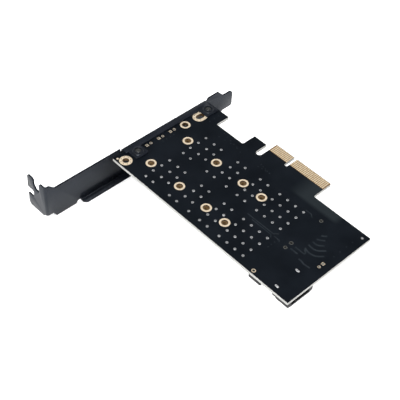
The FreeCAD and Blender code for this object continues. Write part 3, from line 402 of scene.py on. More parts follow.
def board_finish():
    """Black mask on both faces, pale layered resin on the cut edges."""
    material, tree, surface = new_finish("board_mask_and_edge")
    place = tree.nodes.new("ShaderNodeTexCoord")
    parts = tree.nodes.new("ShaderNodeSeparateXYZ")
    tree.links.new(place.outputs["Object"], parts.inputs[0])
    middle = (BOARD_LOW.z + BOARD_HIGH.z) / 2
    half = (BOARD_HIGH.z - BOARD_LOW.z) / 2 - COAT_T
    inside = tree.nodes.new("ShaderNodeMath")
    inside.operation = "COMPARE"
    put(inside, {1: middle, 2: half})
    tree.links.new(parts.outputs["Z"], inside.inputs[0])
    mask = between(tree, noise(tree, MASK_CLOUD, detail=5), *MASK_COLOURS)
    layers = tree.nodes.new("ShaderNodeTexWave")
    layers.bands_direction = "Z"
    put(layers, {"Scale": 1400, "Distortion": 1.2, "Detail": 3})
    tree.links.new(place.outputs["Object"], layers.inputs["Vector"])
    resin = between(tree, layers.outputs["Fac"], *RESIN_COLOURS, start=0.1, end=0.9)
    on_tongue = level_of(
        tree, "MULTIPLY", step_up(tree, parts.outputs["Y"], TONGUE_BARE_Y * MM, TONGUE_RUN * MM),
        step_up(tree, parts.outputs["X"], TONGUE_NEAR_X * MM, TONGUE_RUN * MM))
    bare = between(tree, noise(tree, BARE_CLOUD, detail=4), *BARE_COLOURS)
    # A lighter patch of mask lies between x 15 and 40 mm and beyond y -17.5 mm, with soft edges.
    lighter_patch = level_of(
        tree, "MULTIPLY", step_up(tree, parts.outputs["Y"], LIGHTER_PATCH_Y * MM, LIGHTER_PATCH_RUN_Y * MM),
        step_up(tree, parts.outputs["X"], LIGHTER_PATCH_X * MM, LIGHTER_PATCH_RUN_NEAR * MM))
    lighter_patch = level_of(tree, "MULTIPLY", lighter_patch, level_of(
        tree, "SUBTRACT", 1.0, step_up(tree, parts.outputs["X"], LIGHTER_PATCH_END_X * MM, LIGHTER_PATCH_RUN_END * MM)))
    coat = blended(tree, lighter_patch, mask, LIGHTER_PATCH_COLOUR)
    coat = blended(tree, on_tongue, coat, bare)
    tree.links.new(blended(tree, inside.outputs[0], coat, resin), surface.inputs["Base Color"])
    gloss = ranged(tree, inside.outputs[0], {"To Min": MASK_ROUGHNESS, "To Max": EDGE_ROUGHNESS})
    tree.links.new(gloss, surface.inputs["Roughness"])
    relief(tree, surface, noise(tree, BOARD_GRAIN, detail=4), BOARD_RELIEF)
    put(surface, {"Specular IOR Level": MASK_SPECULAR})
    return material


board_coat = board_finish()
print("board thickness in mm:", round((BOARD_HIGH.z - BOARD_LOW.z) / MM, 3))

# %% [markdown]
# ## Giving the finishes to the solids
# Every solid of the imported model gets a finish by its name. Those that finer pieces replace below get one
# too, so nothing plain is left if a piece is taken away.

# %% dress the solids
DRESS = (
    (board_coat, ("circuit_board",)),
    (gold, ("edge_contacts_solder_side", "edge_contacts_component_side")),
    (pale_gold, ("module_hole_rings", "spare_hole_ring", "bracket_hole_rings", "peg_rings")),
    (pad_gold, ("led_pads", "header_pads")),
    (tin, (
        "heat_pads", "alignment_dots", "nvme_socket_hold_downs", "sata_socket_hold_downs",
        "sata_connector_locks", "regulator_leads", "inductor_terminals", "bulk_capacitor_terminals",
        "capacitor_terminals", "resistor_terminals", "status_led_terminals")),
    (solder, ("sata_lock_solder",)),
    (brass, ("module_standoffs",)),
    (bronze, ("nvme_socket_contacts", "sata_socket_contacts", "sata_connector_contacts")),
    (paint, ("bracket",)),
    (black_steel, ("bracket_screws",)),
    (housing, ("nvme_socket_housing", "sata_socket_housing", "sata_connector_housing")),
    (mould, ("regulator_body",)),
    (ferrite, ("inductor_core",)),
    (ceramic, ("bulk_capacitor_bodies", "capacitor_bodies")),
    (resistor_film, ("resistor_bodies",)),
    (lens, ("status_led_bodies",)),
)
dressed = set()
for finish, node_names in DRESS:
    for node_name in node_names:
        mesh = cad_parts[node_name].data
        mesh.materials.clear()
        mesh.materials.append(finish)
        dressed.add(node_name)
print("dressed:", len(dressed), "left plain:", sorted(set(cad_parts) - dressed))

# %% [markdown]
# ## Reading places from the solids
# Pads, rings and chips come in rows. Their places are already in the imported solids, so the pieces below ask
# for them. A node's mesh is loose triangles, so a copy is merged first, and then each island of joined
# points is one solid.

# %% place helpers
SOLID_MERGE = 0.0002


def merged_copy(node):
    """A copy of a node's mesh with its points merged."""
    bm = bmesh.new()
    bm.from_mesh(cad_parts[node].data)
    bmesh.ops.remove_doubles(bm, verts=bm.verts, dist=SOLID_MERGE * MM)
    return bm


def solids_of(node):
    """Lowest and highest corner of every separate solid in a node, in millimetres."""
    bm = merged_copy(node)
    boxes, seen = [], set()
    for start in bm.verts:
        if start in seen:
            continue
        island, waiting = [], [start]
        seen.add(start)
        while waiting:
            point = waiting.pop()
            island.append(point.co / MM)
            for edge in point.link_edges:
                other = edge.other_vert(point)
                if other not in seen:
                    seen.add(other)
                    waiting.append(other)
        low = Vector([min(co[axis] for co in island) for axis in range(3)])
        high = Vector([max(co[axis] for co in island) for axis in range(3)])
        boxes.append((low, high))
    bm.free()
    return boxes


def centres(node):
    """Middle of every solid in a node, as (x, y) in millimetres, with its size."""
    return [((low.x + high.x) / 2, (low.y + high.y) / 2, high - low) for low, high in solids_of(node)]


print("heat pads:", len(solids_of("heat_pads")), "rings:", len(solids_of("module_hole_rings")))

# %% [markdown]
# ## Making pieces
# A turned piece starts from a closed outline of radius and height, which is spun into a solid of
# revolution. A folded or moulded part starts from a merged copy of its solid, whose flat faces are joined
# again and whose sharp edges are bevelled, because the thin highlight along a soft edge is what makes a
# part look real.

# %% piece helpers
SMOOTH_ANGLE = math.radians(32)
FLAT_ANGLE = math.radians(1.5)
SHARP_ANGLE = math.radians(30)
PIECE_MERGE = 0.0005
EASE_SEGMENTS = 2


def finished_piece(name, bm, finish, slot_name, *nodes):
    """Turns a bmesh into a piece that rides with the card and stands for the named nodes."""
    bmesh.ops.scale(bm, verts=bm.verts, vec=(MM, MM, MM))
    mesh = bpy.data.meshes.new(name)
    bm.to_mesh(mesh)
    bm.free()
    mesh.materials.append(finish)
    mesh.shade_smooth()
    mesh.set_sharp_from_angle(angle=SMOOTH_ANGLE)
    piece = bpy.data.objects.new(name, mesh)
    bpy.context.scene.collection.objects.link(piece)
    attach(piece, "root")
    if nodes:
        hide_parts(*nodes)
    print(name, "faces:", len(mesh.polygons))
    return piece


def turned(bm, x, y, profile, steps):
    """Spins a closed outline of (radius, height) about the upright line at x, y."""
    points = [bm.verts.new((x + radius, y, height)) for radius, height in profile]
    loop = [bm.edges.new((points[i - 1], point)) for i, point in enumerate(points)]
    bmesh.ops.spin(
        bm, geom=points + loop, cent=(x, y, 0), axis=UPRIGHT, dvec=ORIGIN,
        angle=2 * math.pi, steps=steps, use_merge=True)


def closed_up(bm):
    """Merges doubled points, drops the stray edge that a pole leaves, and points the faces outwards."""
    bmesh.ops.remove_doubles(bm, verts=bm.verts, dist=PIECE_MERGE)
    stray = [line for line in bm.edges if not line.link_faces]
    bmesh.ops.delete(bm, geom=stray, context="EDGES")
    bmesh.ops.recalc_face_normals(bm, faces=bm.faces)


def joined_in(bm, one):
    """Adds one finished bmesh to another and frees it."""
    holder = bpy.data.meshes.new("holder")
    one.to_mesh(holder)
    one.free()
    bm.from_mesh(holder)
    bpy.data.meshes.remove(holder)


def turned_set(name, places, profile_of, steps, finish, slot_name, *nodes):
    """One piece with a turned form at each place; profile_of gives the outline for that place's size."""
    bm = bmesh.new()
    for x, y, size in places:
        turned(bm, x, y, profile_of(size), steps)
    closed_up(bm)
    return finished_piece(name, bm, finish, slot_name, *nodes)


def eased_copy(name, node, edge, finish, slot_name):
    """The same shape as a solid, with its sharp edges rounded."""
    bm = merged_copy(node)
    bmesh.ops.scale(bm, verts=bm.verts, vec=(1 / MM, 1 / MM, 1 / MM))
    bmesh.ops.dissolve_limit(bm, angle_limit=FLAT_ANGLE, verts=bm.verts, edges=bm.edges)
    sharp = [line for line in bm.edges if len(line.link_faces) == 2 and line.calc_face_angle() > SHARP_ANGLE]
    bmesh.ops.bevel(
        bm, geom=sharp, offset=edge, offset_type="OFFSET", segments=EASE_SEGMENTS, profile=0.5,
        affect="EDGES", clamp_overlap=False, material=-1)
    return finished_piece(name, bm, finish, slot_name, node)


print("piece helpers ready")

# %% [markdown]
# ## Plated rings
# A fixing hole is lined with copper and ends in a flat ring, all plated. Each ring is one turned outline with
# a rolled lip, a flat and an outer rim. The module holes are lined as far as the standoff below, and the open
# ones through to the other side. The linings are a much darker gold than the rings, painted shade for the
# inside of the holes.

# %% rings
COPPER_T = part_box("module_hole_rings")[1].z / MM
BOARD_BOTTOM = BOARD_LOW.z / MM
MODULE_HOLE_R = 1.7
BRACKET_HOLE_R = 1.65
LINING_T = 0.05
LIP_RISE = 0.02
LIP_W = 0.07
RIM_W = 0.1
RING_STEPS = 40
SPIGOT_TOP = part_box("module_standoffs")[1].z / MM


def flat_ring(outer_r, hole_r):
    """Outline of the flat of a ring, with a rolled lip at the hole."""
    top = COPPER_T + LIP_RISE
    inner = hole_r - LINING_T
    return [
        (inner, 0.0), (inner + LIP_RISE, top - 0.01), (inner + LIP_W, top), (outer_r - RIM_W, top),
        (outer_r - 0.03, top - 0.015), (outer_r, 0.0)]


def lining(hole_r, low):
    """Outline of the plating inside a hole, from the ring down to a given height."""
    inner = hole_r - LINING_T + 0.01
    return [(inner, low), (inner, LIP_RISE), (hole_r, LIP_RISE), (hole_r, low)]


def foot_ring(outer_r, hole_r):
    """Outline of the ring on the component side."""
    foot = BOARD_BOTTOM - COPPER_T
    inner = hole_r - LINING_T
    return [
        (inner, BOARD_BOTTOM), (inner + LIP_RISE, foot + 0.01), (inner + LIP_W, foot),
        (outer_r - RIM_W, foot), (outer_r - 0.03, foot + 0.01), (outer_r, BOARD_BOTTOM)]


def ring_set(name, places, outline_of, finish, *nodes):
    """One plated piece with a turned form at each place."""
    return turned_set(name, places, outline_of, RING_STEPS, finish, "gold_plating", *nodes)


module_places = centres("module_hole_rings")
spare_places = centres("spare_hole_ring")
ring_set(
    "module_rings", module_places, lambda size: flat_ring(size.x / 2, MODULE_HOLE_R), pale_gold,
    "module_hole_rings")
ring_set("module_hole_linings", module_places, lambda size: lining(MODULE_HOLE_R, SPIGOT_TOP), shaded_lining_gold)
ring_set(
    "spare_ring", spare_places, lambda size: flat_ring(size.x / 2, MODULE_HOLE_R), pale_gold,
    "spare_hole_ring")
ring_set("spare_hole_lining", spare_places, lambda size: lining(MODULE_HOLE_R, BOARD_BOTTOM), shaded_lining_gold)
ring_set("spare_foot_ring", spare_places, lambda size: foot_ring(size.x / 2, MODULE_HOLE_R), pale_gold)

# %% [markdown]
# ## Open holes for another bracket
# Two larger rings stand open beside the tapped tabs, for a card that is screwed to a shorter bracket. One
# hole is long and runs under the tab. Its ring is a round one whose far half is moved outwards, which keeps
# all the soft edges of the turned form.

# %% open holes
OPEN_RING_STEPS = 44


def open_hole_set(name, outline_of, finish, *nodes):
    """One piece with a turned form at both open holes, the far half of the long one moved out by its run."""
    bm = bmesh.new()
    for low, high in solids_of("bracket_hole_rings"):
        radius = (high.x - low.x) / 2
        start_y = low.y + radius
        one = bmesh.new()
        turned(one, low.x + radius, start_y, outline_of(radius), OPEN_RING_STEPS)
        closed_up(one)
        far_half = [point for point in one.verts if point.co.y > start_y + 0.01]
        bmesh.ops.translate(one, verts=far_half, vec=(0, high.y - radius - start_y, 0))
        joined_in(bm, one)
    return finished_piece(name, bm, finish, "gold_plating", *nodes)


open_hole_set(
    "open_hole_rings", lambda radius: flat_ring(radius, BRACKET_HOLE_R), pale_gold, "bracket_hole_rings")
open_hole_set("open_hole_linings", lambda radius: lining(BRACKET_HOLE_R, BOARD_BOTTOM), shaded_lining_gold)
open_hole_set("open_hole_foot_rings", lambda radius: foot_ring(radius, BRACKET_HOLE_R), pale_gold)

# %% [markdown]
# ## Rings of the locating pegs
# Each socket has two plastic pegs that find their holes in the board. A narrow ring of copper runs round each
# hole. Three are covered by a film of mask and look grey, and the outermost is bare gold. The wall of each
# hole is near-black, painted shade down to the end of the peg.

# %% peg rings
PEG_RING_W = 0.35
PEG_DEPTH = 0.34
PEG_STEPS = 24


def peg_ring(size):
    """A narrow ring round a locating peg."""
    outer = size.x / 2
    inner = outer - PEG_RING_W
    return [
        (inner, 0.0), (inner + LIP_RISE, COPPER_T + 0.005), (inner + LIP_W, COPPER_T + LIP_RISE),
        (outer - LIP_W, COPPER_T + LIP_RISE), (outer - LIP_RISE, COPPER_T), (outer, 0.0)]


def peg_hole_shade(size):
    """The painted shade on the wall of a peg hole, down to the end of the peg."""
    wall = size.x / 2 - PEG_RING_W
    return [(wall - 0.03, -PEG_DEPTH), (wall - 0.03, 0.01), (wall + 0.01, 0.01), (wall + 0.01, -PEG_DEPTH)]


peg_spots = sorted(centres("peg_rings"), key=lambda spot: spot[1])
turned_set("outer_peg_ring", peg_spots[:1], peg_ring, PEG_STEPS, pale_gold, "gold_plating", "peg_rings")
turned_set("covered_peg_rings", peg_spots[1:], peg_ring, PEG_STEPS, dull_copper, "gold_plating", "peg_rings")
turned_set("peg_hole_shade_walls", peg_spots, peg_hole_shade, PEG_STEPS, hole_shade, "board_mask")

# %% [markdown]
# ## Pads with open holes
# Three pairs of pads near the bracket wait for lights and one pair at the far edge for a header. In each pair
# one pad is square, to mark the first pin. A square pad is a turned ring whose outer points are pushed out to
# a square.

# %% pin pads
PIN_HOLE_R = 0.62
PIN_STEPS = 24
PIN_LINING_STEPS = 20
SQUARE_SHARE = 0.97
ROUND_SHARE = 0.95


def pin_pads(name, squares, rounds, *nodes):
    """Plated pads with open holes, the first list square and the second round and a little smaller."""
    bm = bmesh.new()
    for x, y, size in squares + rounds:
        outer_r = size.x / 2 * (1.0 if (x, y, size) in squares else ROUND_SHARE)
        for outline in (flat_ring(outer_r, PIN_HOLE_R), foot_ring(outer_r, PIN_HOLE_R)):
            one = bmesh.new()
            turned(one, 0, 0, outline, PIN_STEPS)
            closed_up(one)
            if (x, y, size) in squares:
                for point in one.verts:
                    reach = point.co.xy.length
                    if reach > (outer_r + PIN_HOLE_R) / 2:
                        point.co.xy *= SQUARE_SHARE * reach / max(abs(point.co.x), abs(point.co.y))
            bmesh.ops.translate(one, verts=one.verts, vec=(x, y, 0))
            joined_in(bm, one)
    return finished_piece(name, bm, pad_gold, "gold_plating", *nodes)


led_spots = sorted(centres("led_pads"), key=lambda spot: spot[1])
header_spots = sorted(centres("header_pads"), key=lambda spot: spot[1])
pin_pads("light_pads", led_spots[0::2], led_spots[1::2], "led_pads")
pin_pads("header_pin_pads", header_spots[1:], header_spots[:1], "header_pads")
# The pin holes are lined with the near-black finish, painted shade for the inside of each hole.
turned_set(
    "pin_hole_shade_linings", led_spots + header_spots, lambda size: lining(PIN_HOLE_R, BOARD_BOTTOM),
    PIN_LINING_STEPS, hole_shade, "board_mask")

# %% [markdown]
# ## Ring of small plated holes
# The two large open rings carry a circle of tiny plated holes, which tie the ring to the copper inside the
# board. Each is a dark disc set into the flat, painted shade for the tiny hole.

# %% tie holes
TIE_HOLES = 8
TIE_HOLE_R = 0.22
TIE_CIRCLE = 2.45
TIE_STEPS = 10


def tie_places():
    """Centres of the small holes on each large ring."""
    spots = []
    for low, high in solids_of("bracket_hole_rings"):
        radius = (high.x - low.x) / 2
        for i in range(TIE_HOLES):
            turn = 2 * math.pi * (i + 0.5) / TIE_HOLES
            x = low.x + radius + TIE_CIRCLE * math.cos(turn)
            y = high.y - radius if math.sin(turn) > 0 else low.y + radius
            spots.append((x, y + TIE_CIRCLE * math.sin(turn), high - low))
    return spots


def tie_hollow(size):
    """A shallow disc of painted shade for a tiny hole."""
    top = COPPER_T + 0.022
    return [(0.0, top), (TIE_HOLE_R, top), (TIE_HOLE_R, LIP_RISE), (0.0, LIP_RISE)]


turned_set("tie_hole_hollows", tie_places(), tie_hollow, TIE_STEPS, hole_shade, "board_mask")

# %% [markdown]
# ## Heat pads
# The small round pads under the modules are plated holes filled with tin, which carry heat through the board.
# Each is a low dome with a dimple in the middle, where a dark disc is painted shade for the open hole.
# There are 88, so each one keeps to a few dozen faces.

# %% heat pads
HEAT_PAD_R = 0.66
HEAT_HOLE_R = 0.25
HEAT_CROWN = 0.075
HEAT_STEPS = 12
HOLLOW_STEPS = 8
FILM_T = 0.012


def heat_dome(size):
    """A low tinned dome with an open middle."""
    return [
        (HEAT_HOLE_R, 0.0), (HEAT_HOLE_R + 0.04, 0.05), (0.42, HEAT_CROWN), (0.58, 0.05), (HEAT_PAD_R, 0.0)]


def heat_hollow(size):
    """A disc of painted shade in the open middle of a heat pad."""
    rim = HEAT_HOLE_R + 0.01
    return [(0.0, FILM_T), (rim, FILM_T), (rim, 0.0), (0.0, 0.0)]


turned_set("heat_pad_domes", centres("heat_pads"), heat_dome, HEAT_STEPS, tin, "tin_plating", "heat_pads")
turned_set("heat_pad_hollows", centres("heat_pads"), heat_hollow, HOLLOW_STEPS, hole_shade, "board_mask")

# %% [markdown]
# ## Alignment dots
# The machine that places the parts looks for bare round dots near the corners. Each lies in a ring of bare
# board, a little lower than the mask. The one by the bracket is gold and the others are tinned.

# %% alignment dots
DOT_R = 0.6
CLEARING_W = 0.36
DOT_STEPS = 20


def dot(size):
    """A thin disc with a soft rim."""
    return [
        (0.0, COPPER_T), (DOT_R - RIM_W, COPPER_T), (DOT_R - 0.02, COPPER_T - 0.01), (DOT_R, 0.0), (0.0, 0.0)]


def dot_clearing(size):
    """The ring of dark bare board round a dot."""
    return [(DOT_R, FILM_T), (DOT_R + 0.32, FILM_T), (DOT_R + CLEARING_W, 0.0), (DOT_R, 0.0)]


dot_spots = sorted(centres("alignment_dots"))
turned_set("gold_dot", dot_spots[:1], dot, DOT_STEPS, pale_gold, "gold_plating", "alignment_dots")
turned_set("tinned_dots", dot_spots[1:], dot, DOT_STEPS, tin, "tin_plating", "alignment_dots")
turned_set("dot_clearings", dot_spots, dot_clearing, DOT_STEPS, resistor_film, "board_mask")
print("dots:", [(round(x, 1), round(y, 1)) for x, y, size in dot_spots])

# %% [markdown]
# ## Threaded standoffs
# A brass standoff is pressed into each module hole from the component side. Its body is a turned outline
# with chamfered ends, and its thread is a small triangle swept round and up the bore by a spin that also
# moves along the axis.

# %% standoffs
BORE_R = 0.8
BODY_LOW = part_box("module_standoffs")[0].z / MM
SPIGOT_R = 1.65
STANDOFF_STEPS = 36
THREAD_PITCH = 0.4
THREAD_DEPTH = 0.14
THREAD_STEPS = 14


def standoff_body(size):
    """Outline of the standoff: bore, chamfers, body, shoulder and spigot."""
    body = size.x / 2
    return [
        (BORE_R, BODY_LOW + 0.18), (BORE_R + 0.18, BODY_LOW), (body - 0.15, BODY_LOW),
        (body, BODY_LOW + 0.15), (body, BOARD_BOTTOM), (SPIGOT_R, BOARD_BOTTOM), (SPIGOT_R, SPIGOT_TOP - 0.1),
        (SPIGOT_R - 0.1, SPIGOT_TOP), (BORE_R + 0.15, SPIGOT_TOP), (BORE_R, SPIGOT_TOP - 0.15)]


turned_set(
    "threaded_standoffs", centres("module_standoffs"), standoff_body, STANDOFF_STEPS, brass, "standoff_brass",
    "module_standoffs")


def thread(bm, x, y, low, high):
    """A triangle swept round and along the bore at x, y."""
    turns = int((high - low) / THREAD_PITCH)
    root_r, crest_r = BORE_R + 0.02, BORE_R - THREAD_DEPTH
    corners = (root_r, 0.06), (crest_r, THREAD_PITCH / 2), (root_r, THREAD_PITCH - 0.06)
    points = [bm.verts.new((x + radius, y, low + height)) for radius, height in corners]
    face = bm.faces.new(points)
    bmesh.ops.spin(
        bm, geom=[face, *face.edges, *points], cent=(x, y, 0), axis=UPRIGHT,
        dvec=(0, 0, THREAD_PITCH / THREAD_STEPS), angle=2 * math.pi * turns, steps=turns * THREAD_STEPS)


bm = bmesh.new()
for x, y, size in centres("module_standoffs"):
    thread(bm, x, y, BODY_LOW + 0.25, SPIGOT_TOP - 0.2)
bmesh.ops.recalc_face_normals(bm, faces=bm.faces)
finished_piece("standoff_threads", bm, brass, "standoff_brass")

# %% [markdown]
# ## Bracket
# The bracket is pressed from one sheet. Its solid already has the right folds, so the piece is a copy with
# its cut edges eased, as tumbling and a coat of powder leave them.

# %% bracket
eased_copy("folded_bracket", "bracket", 0.11, paint, "black_painted_steel")

# %% [markdown]
# ## Bracket screws
# Two pan-head screws come from the component side into the collars of the tapped tabs. Their heads have a
# cross recess, which the solid already has, so a copy with softer edges is enough.

# %% bracket screws
eased_copy("crosshead_screws", "bracket_screws", 0.06, black_steel, "black_screw_steel")

# %% [markdown]
# ## Screw ends
# The end of a rolled thread is slightly domed, and that dome catches a small light inside the collar. The
# solid ends flat, so a turned dome is laid on it. Its finish is a paler copy of the screw steel, a painted
# highlight for that light.

# %% screw ends
SCREW_R = 1.5
SCREW_DOME = 0.24
SCREW_STEPS = 32
screw_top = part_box("bracket_screws")[1].z / MM


def screw_dome(size):
    """The rounded end of a screw, just inside its collar."""
    top = screw_top + SCREW_DOME
    return [
        (0.0, top), (0.35, top - 0.01), (0.7, top - 0.045), (1.0, top - 0.1), (1.25, top - 0.18),
        (SCREW_R - 0.08, screw_top - 0.02), (0.0, screw_top - 0.02)]


turned_set(
    "screw_end_domes", centres("bracket_screws"), screw_dome, SCREW_STEPS, screw_end_painted_light,
    "black_screw_steel")

# %% [markdown]
# ## Rolled collars
# A thread needs more depth than a thin sheet has, so the punch draws a collar up round the hole. It leaves
# the tab in a fillet and ends in a rolled lip. Bevelling the solid can't make a fillet as wide as that
# beside the thin sheet, so each collar gets a turned skin.

# %% collars
COLLAR_R = 2.4
COLLAR_H = 0.9
COLLAR_BORE_R = 1.53
COLLAR_STEPS = 44
TAB_TOP = 0.9
collar_top = TAB_TOP + COLLAR_H


def collar_skin(size):
    """Outline of a drawn collar: fillet, wall, rolled lip and bore."""
    return [
        (COLLAR_R + 0.42, TAB_TOP + 0.004), (COLLAR_R + 0.2, TAB_TOP + 0.07),
        (COLLAR_R + 0.06, TAB_TOP + 0.22), (COLLAR_R + 0.01, TAB_TOP + 0.42),
        (COLLAR_R - 0.03, collar_top - 0.25), (COLLAR_R - 0.14, collar_top - 0.09),
        (COLLAR_R - 0.32, collar_top + 0.01), (COLLAR_BORE_R + 0.2, collar_top + 0.01),
        (COLLAR_BORE_R + 0.07, collar_top - 0.04), (COLLAR_BORE_R - 0.01, collar_top - 0.18),
        (COLLAR_BORE_R - 0.01, TAB_TOP + 0.2), (COLLAR_BORE_R + 0.3, TAB_TOP)]


turned_set(
    "rolled_collars", centres("bracket_screws"), collar_skin, COLLAR_STEPS, collar_paint,
    "black_painted_steel")

# %% [markdown]
# ## Traces under the mask
# The copper lines of a board lie under its solder mask and show as low, slightly paler ridges. Each run is a
# round curve, made a mesh and pressed flat, so its ends and bends stay smooth.

# %% trace helper
TRACE_H = 0.03
ROUND_STEPS, RUN_STEPS = 2, 6


def covered_lines(name, runs, width, height, smooth=False):
    """Flattened ridges along runs of (x, y) points, on the face at the given height."""
    curve = bpy.data.curves.new(name + "_curve", "CURVE")
    curve.dimensions = "3D"
    curve.bevel_depth = width / 2
    curve.bevel_resolution = ROUND_STEPS
    curve.resolution_u = RUN_STEPS
    curve.use_fill_caps = True
    for run in runs:
        spline = curve.splines.new("NURBS" if smooth else "POLY")
        spline.points.add(len(run) - 1)
        for point, (x, y) in zip(spline.points, run):
            point.co = (x, y, 0, 1)
        if smooth:
            spline.order_u = 3
            spline.use_endpoint_u = True
    holder = bpy.data.objects.new(name + "_curve", curve)
    bpy.context.scene.collection.objects.link(holder)
    ready = holder.evaluated_get(bpy.context.evaluated_depsgraph_get())
    mesh = bpy.data.meshes.new_from_object(ready)
    bm = bmesh.new()
    bm.from_mesh(mesh)
    bpy.data.objects.remove(holder)
    bpy.data.curves.remove(curve)
    bpy.data.meshes.remove(mesh)
    bmesh.ops.remove_doubles(bm, verts=bm.verts, dist=PIECE_MERGE)
    bmesh.ops.scale(bm, verts=bm.verts, vec=(1, 1, 2 * TRACE_H / width))
    bmesh.ops.translate(bm, verts=bm.verts, vec=(0, 0, height))
    bmesh.ops.recalc_face_normals(bm, faces=bm.faces)
    return finished_piece(name, bm, covered_copper, "board_mask")


print("height of a trace in mm:", TRACE_H)

# %% [markdown]
# ## Traces on the solder side
# A nested group bends round the inductor on the other side, and a long pair crosses the board between the two
# modules. The places are listed one by one, because such lines follow no simple rule.

# %% traces on the solder side
NESTED_BENDS = (
    ((41.2, -39.0), (43.6, -39.9), (46.6, -39.6), (48.6, -38.2), (50.2, -36.2)),
    ((41.0, -36.4), (43.2, -36.9), (45.6, -36.4), (47.2, -35.0), (48.6, -33.2)),
    ((41.0, -33.7), (42.8, -34.0), (44.6, -33.4), (46.2, -31.6)),
    ((41.2, -31.2), (42.6, -31.0), (44.4, -29.0)),
    ((41.2, -28.2), (42.0, -27.8), (43.2, -26.4)),
)
LONG_RUNS = (
    ((10.0, -43.6), (26.2, -43.6), (28.0, -41.8)),
    ((14.0, -44.7), (25.8, -44.7), (27.0, -46.0)),
    ((27.5, -44.4), (30.6, -44.4), (31.4, -45.2)),
    ((26.0, -21.8), (29.4, -21.8), (31.2, -23.2)),
)
WIDE_RUNS = (
    ((37.2, -44.1), (41.4, -44.1)),
    ((38.0, -41.9), (43.4, -41.9), (43.4, -41.0), (41.8, -39.7)),
    ((43.6, -45.8), (45.4, -45.8), (47.0, -46.3), (50.4, -46.0)),
)
BEND_W, LONG_W, WIDE_W = 0.85, 0.45, 0.8
covered_lines("nested_bends", NESTED_BENDS, BEND_W, 0, smooth=True)
covered_lines("long_traces", LONG_RUNS, LONG_W, 0)
covered_lines("wide_traces", WIDE_RUNS, WIDE_W, 0)

# %% [markdown]
# ## Traces on the component side
# Each coupling capacitor sits on one signal line. A short stretch joins it to its contact on the tongue,
# and a longer one runs on to the socket in steps beside its neighbours. The places follow a simple rule, so
# one loop lays them out.

# %% traces on the component side
LINES = 8
LINE_PITCH = 2.0
FIRST_LINE_X = 2.0
LINE_STEP = 0.55
LINE_W = 0.3
CONTACT_SHIFT = 0.5
CONTACT_Y, JOG_FROM_Y, JOG_TO_Y, CHIP_NEAR_Y, CHIP_FAR_Y = -6.0, -11.5, -12.4, -14.2, -16.6
LEVEL_Y, TURN_X, SOCKET_Y, SOCKET_X = -18.0, 26.0, -24.5, 32.6
finger_runs, socket_runs = [], []
for i in range(LINES):
    x = FIRST_LINE_X + i * LINE_PITCH
    finger_runs.append((
        (x + CONTACT_SHIFT, CONTACT_Y), (x + CONTACT_SHIFT, JOG_FROM_Y), (x, JOG_TO_Y), (x, CHIP_NEAR_Y)))
    rest = LINES - 1 - i
    level = LEVEL_Y - rest * LINE_STEP
    turn_x = TURN_X + rest * LINE_STEP
    pin_y = SOCKET_Y - rest * LINE_PITCH
    socket_runs.append((
        (x, CHIP_FAR_Y), (x, level + 0.6), (x + 0.6, level), (turn_x - 1.2, level),
        (turn_x, level - 1.2), (turn_x, pin_y + 1.0), (turn_x + 1.0, pin_y), (SOCKET_X, pin_y)))
covered_lines("contact_lines", finger_runs, LINE_W, BOARD_BOTTOM)
covered_lines("socket_lines", socket_runs, LINE_W, BOARD_BOTTOM)

# %% [markdown]
# ## Covered vias
# A via is a tiny plated hole that joins the copper layers. Most are covered by the mask and show only as low
# pimples in short rows. They are turned domes of a few faces, repeated on both sides of the board.

# %% vias
VIA_ROWS = (
    ((-8.0, -16.0), (1.7, -0.4), 5), ((-8.0, -18.2), (2.2, 0.3), 4), ((-38.0, -13.5), (2.9, -0.7), 7),
    ((-35.0, -18.0), (3.6, 0.5), 4), ((24.5, -14.0), (1.9, 0.0), 7), ((30.0, -44.6), (0.0, -2.1), 4),
    ((-50.5, -41.0), (0.0, 2.4), 4), ((-46.0, -7.5), (0.0, -3.1), 3), ((53.0, -20.5), (0.0, -4.2), 4),
)
VIA_R = 0.3
VIA_H = 0.025
VIA_STEPS = 10
via_places = []
for (x, y), (step_x, step_y), count in VIA_ROWS:
    via_places += [(x + i * step_x, y + i * step_y, None) for i in range(count)]
turned_set(
    "covered_vias", via_places,
    lambda size: [(0.0, VIA_H), (0.14, VIA_H * 0.9), (VIA_R, 0.0), (0.0, 0.0)], VIA_STEPS,
    covered_copper, "board_mask")
turned_set(
    "covered_vias_below", via_places,
    lambda size: [(0.0, BOARD_BOTTOM - VIA_H), (VIA_R, BOARD_BOTTOM), (0.0, BOARD_BOTTOM)], VIA_STEPS,
    covered_copper, "board_mask")

# %% [markdown]
# ## Moulded and soldered parts
# Sockets, the data connector, the regulator and the inductor are moulded, so their edges are soft. The chip
# parts get eased copies too.

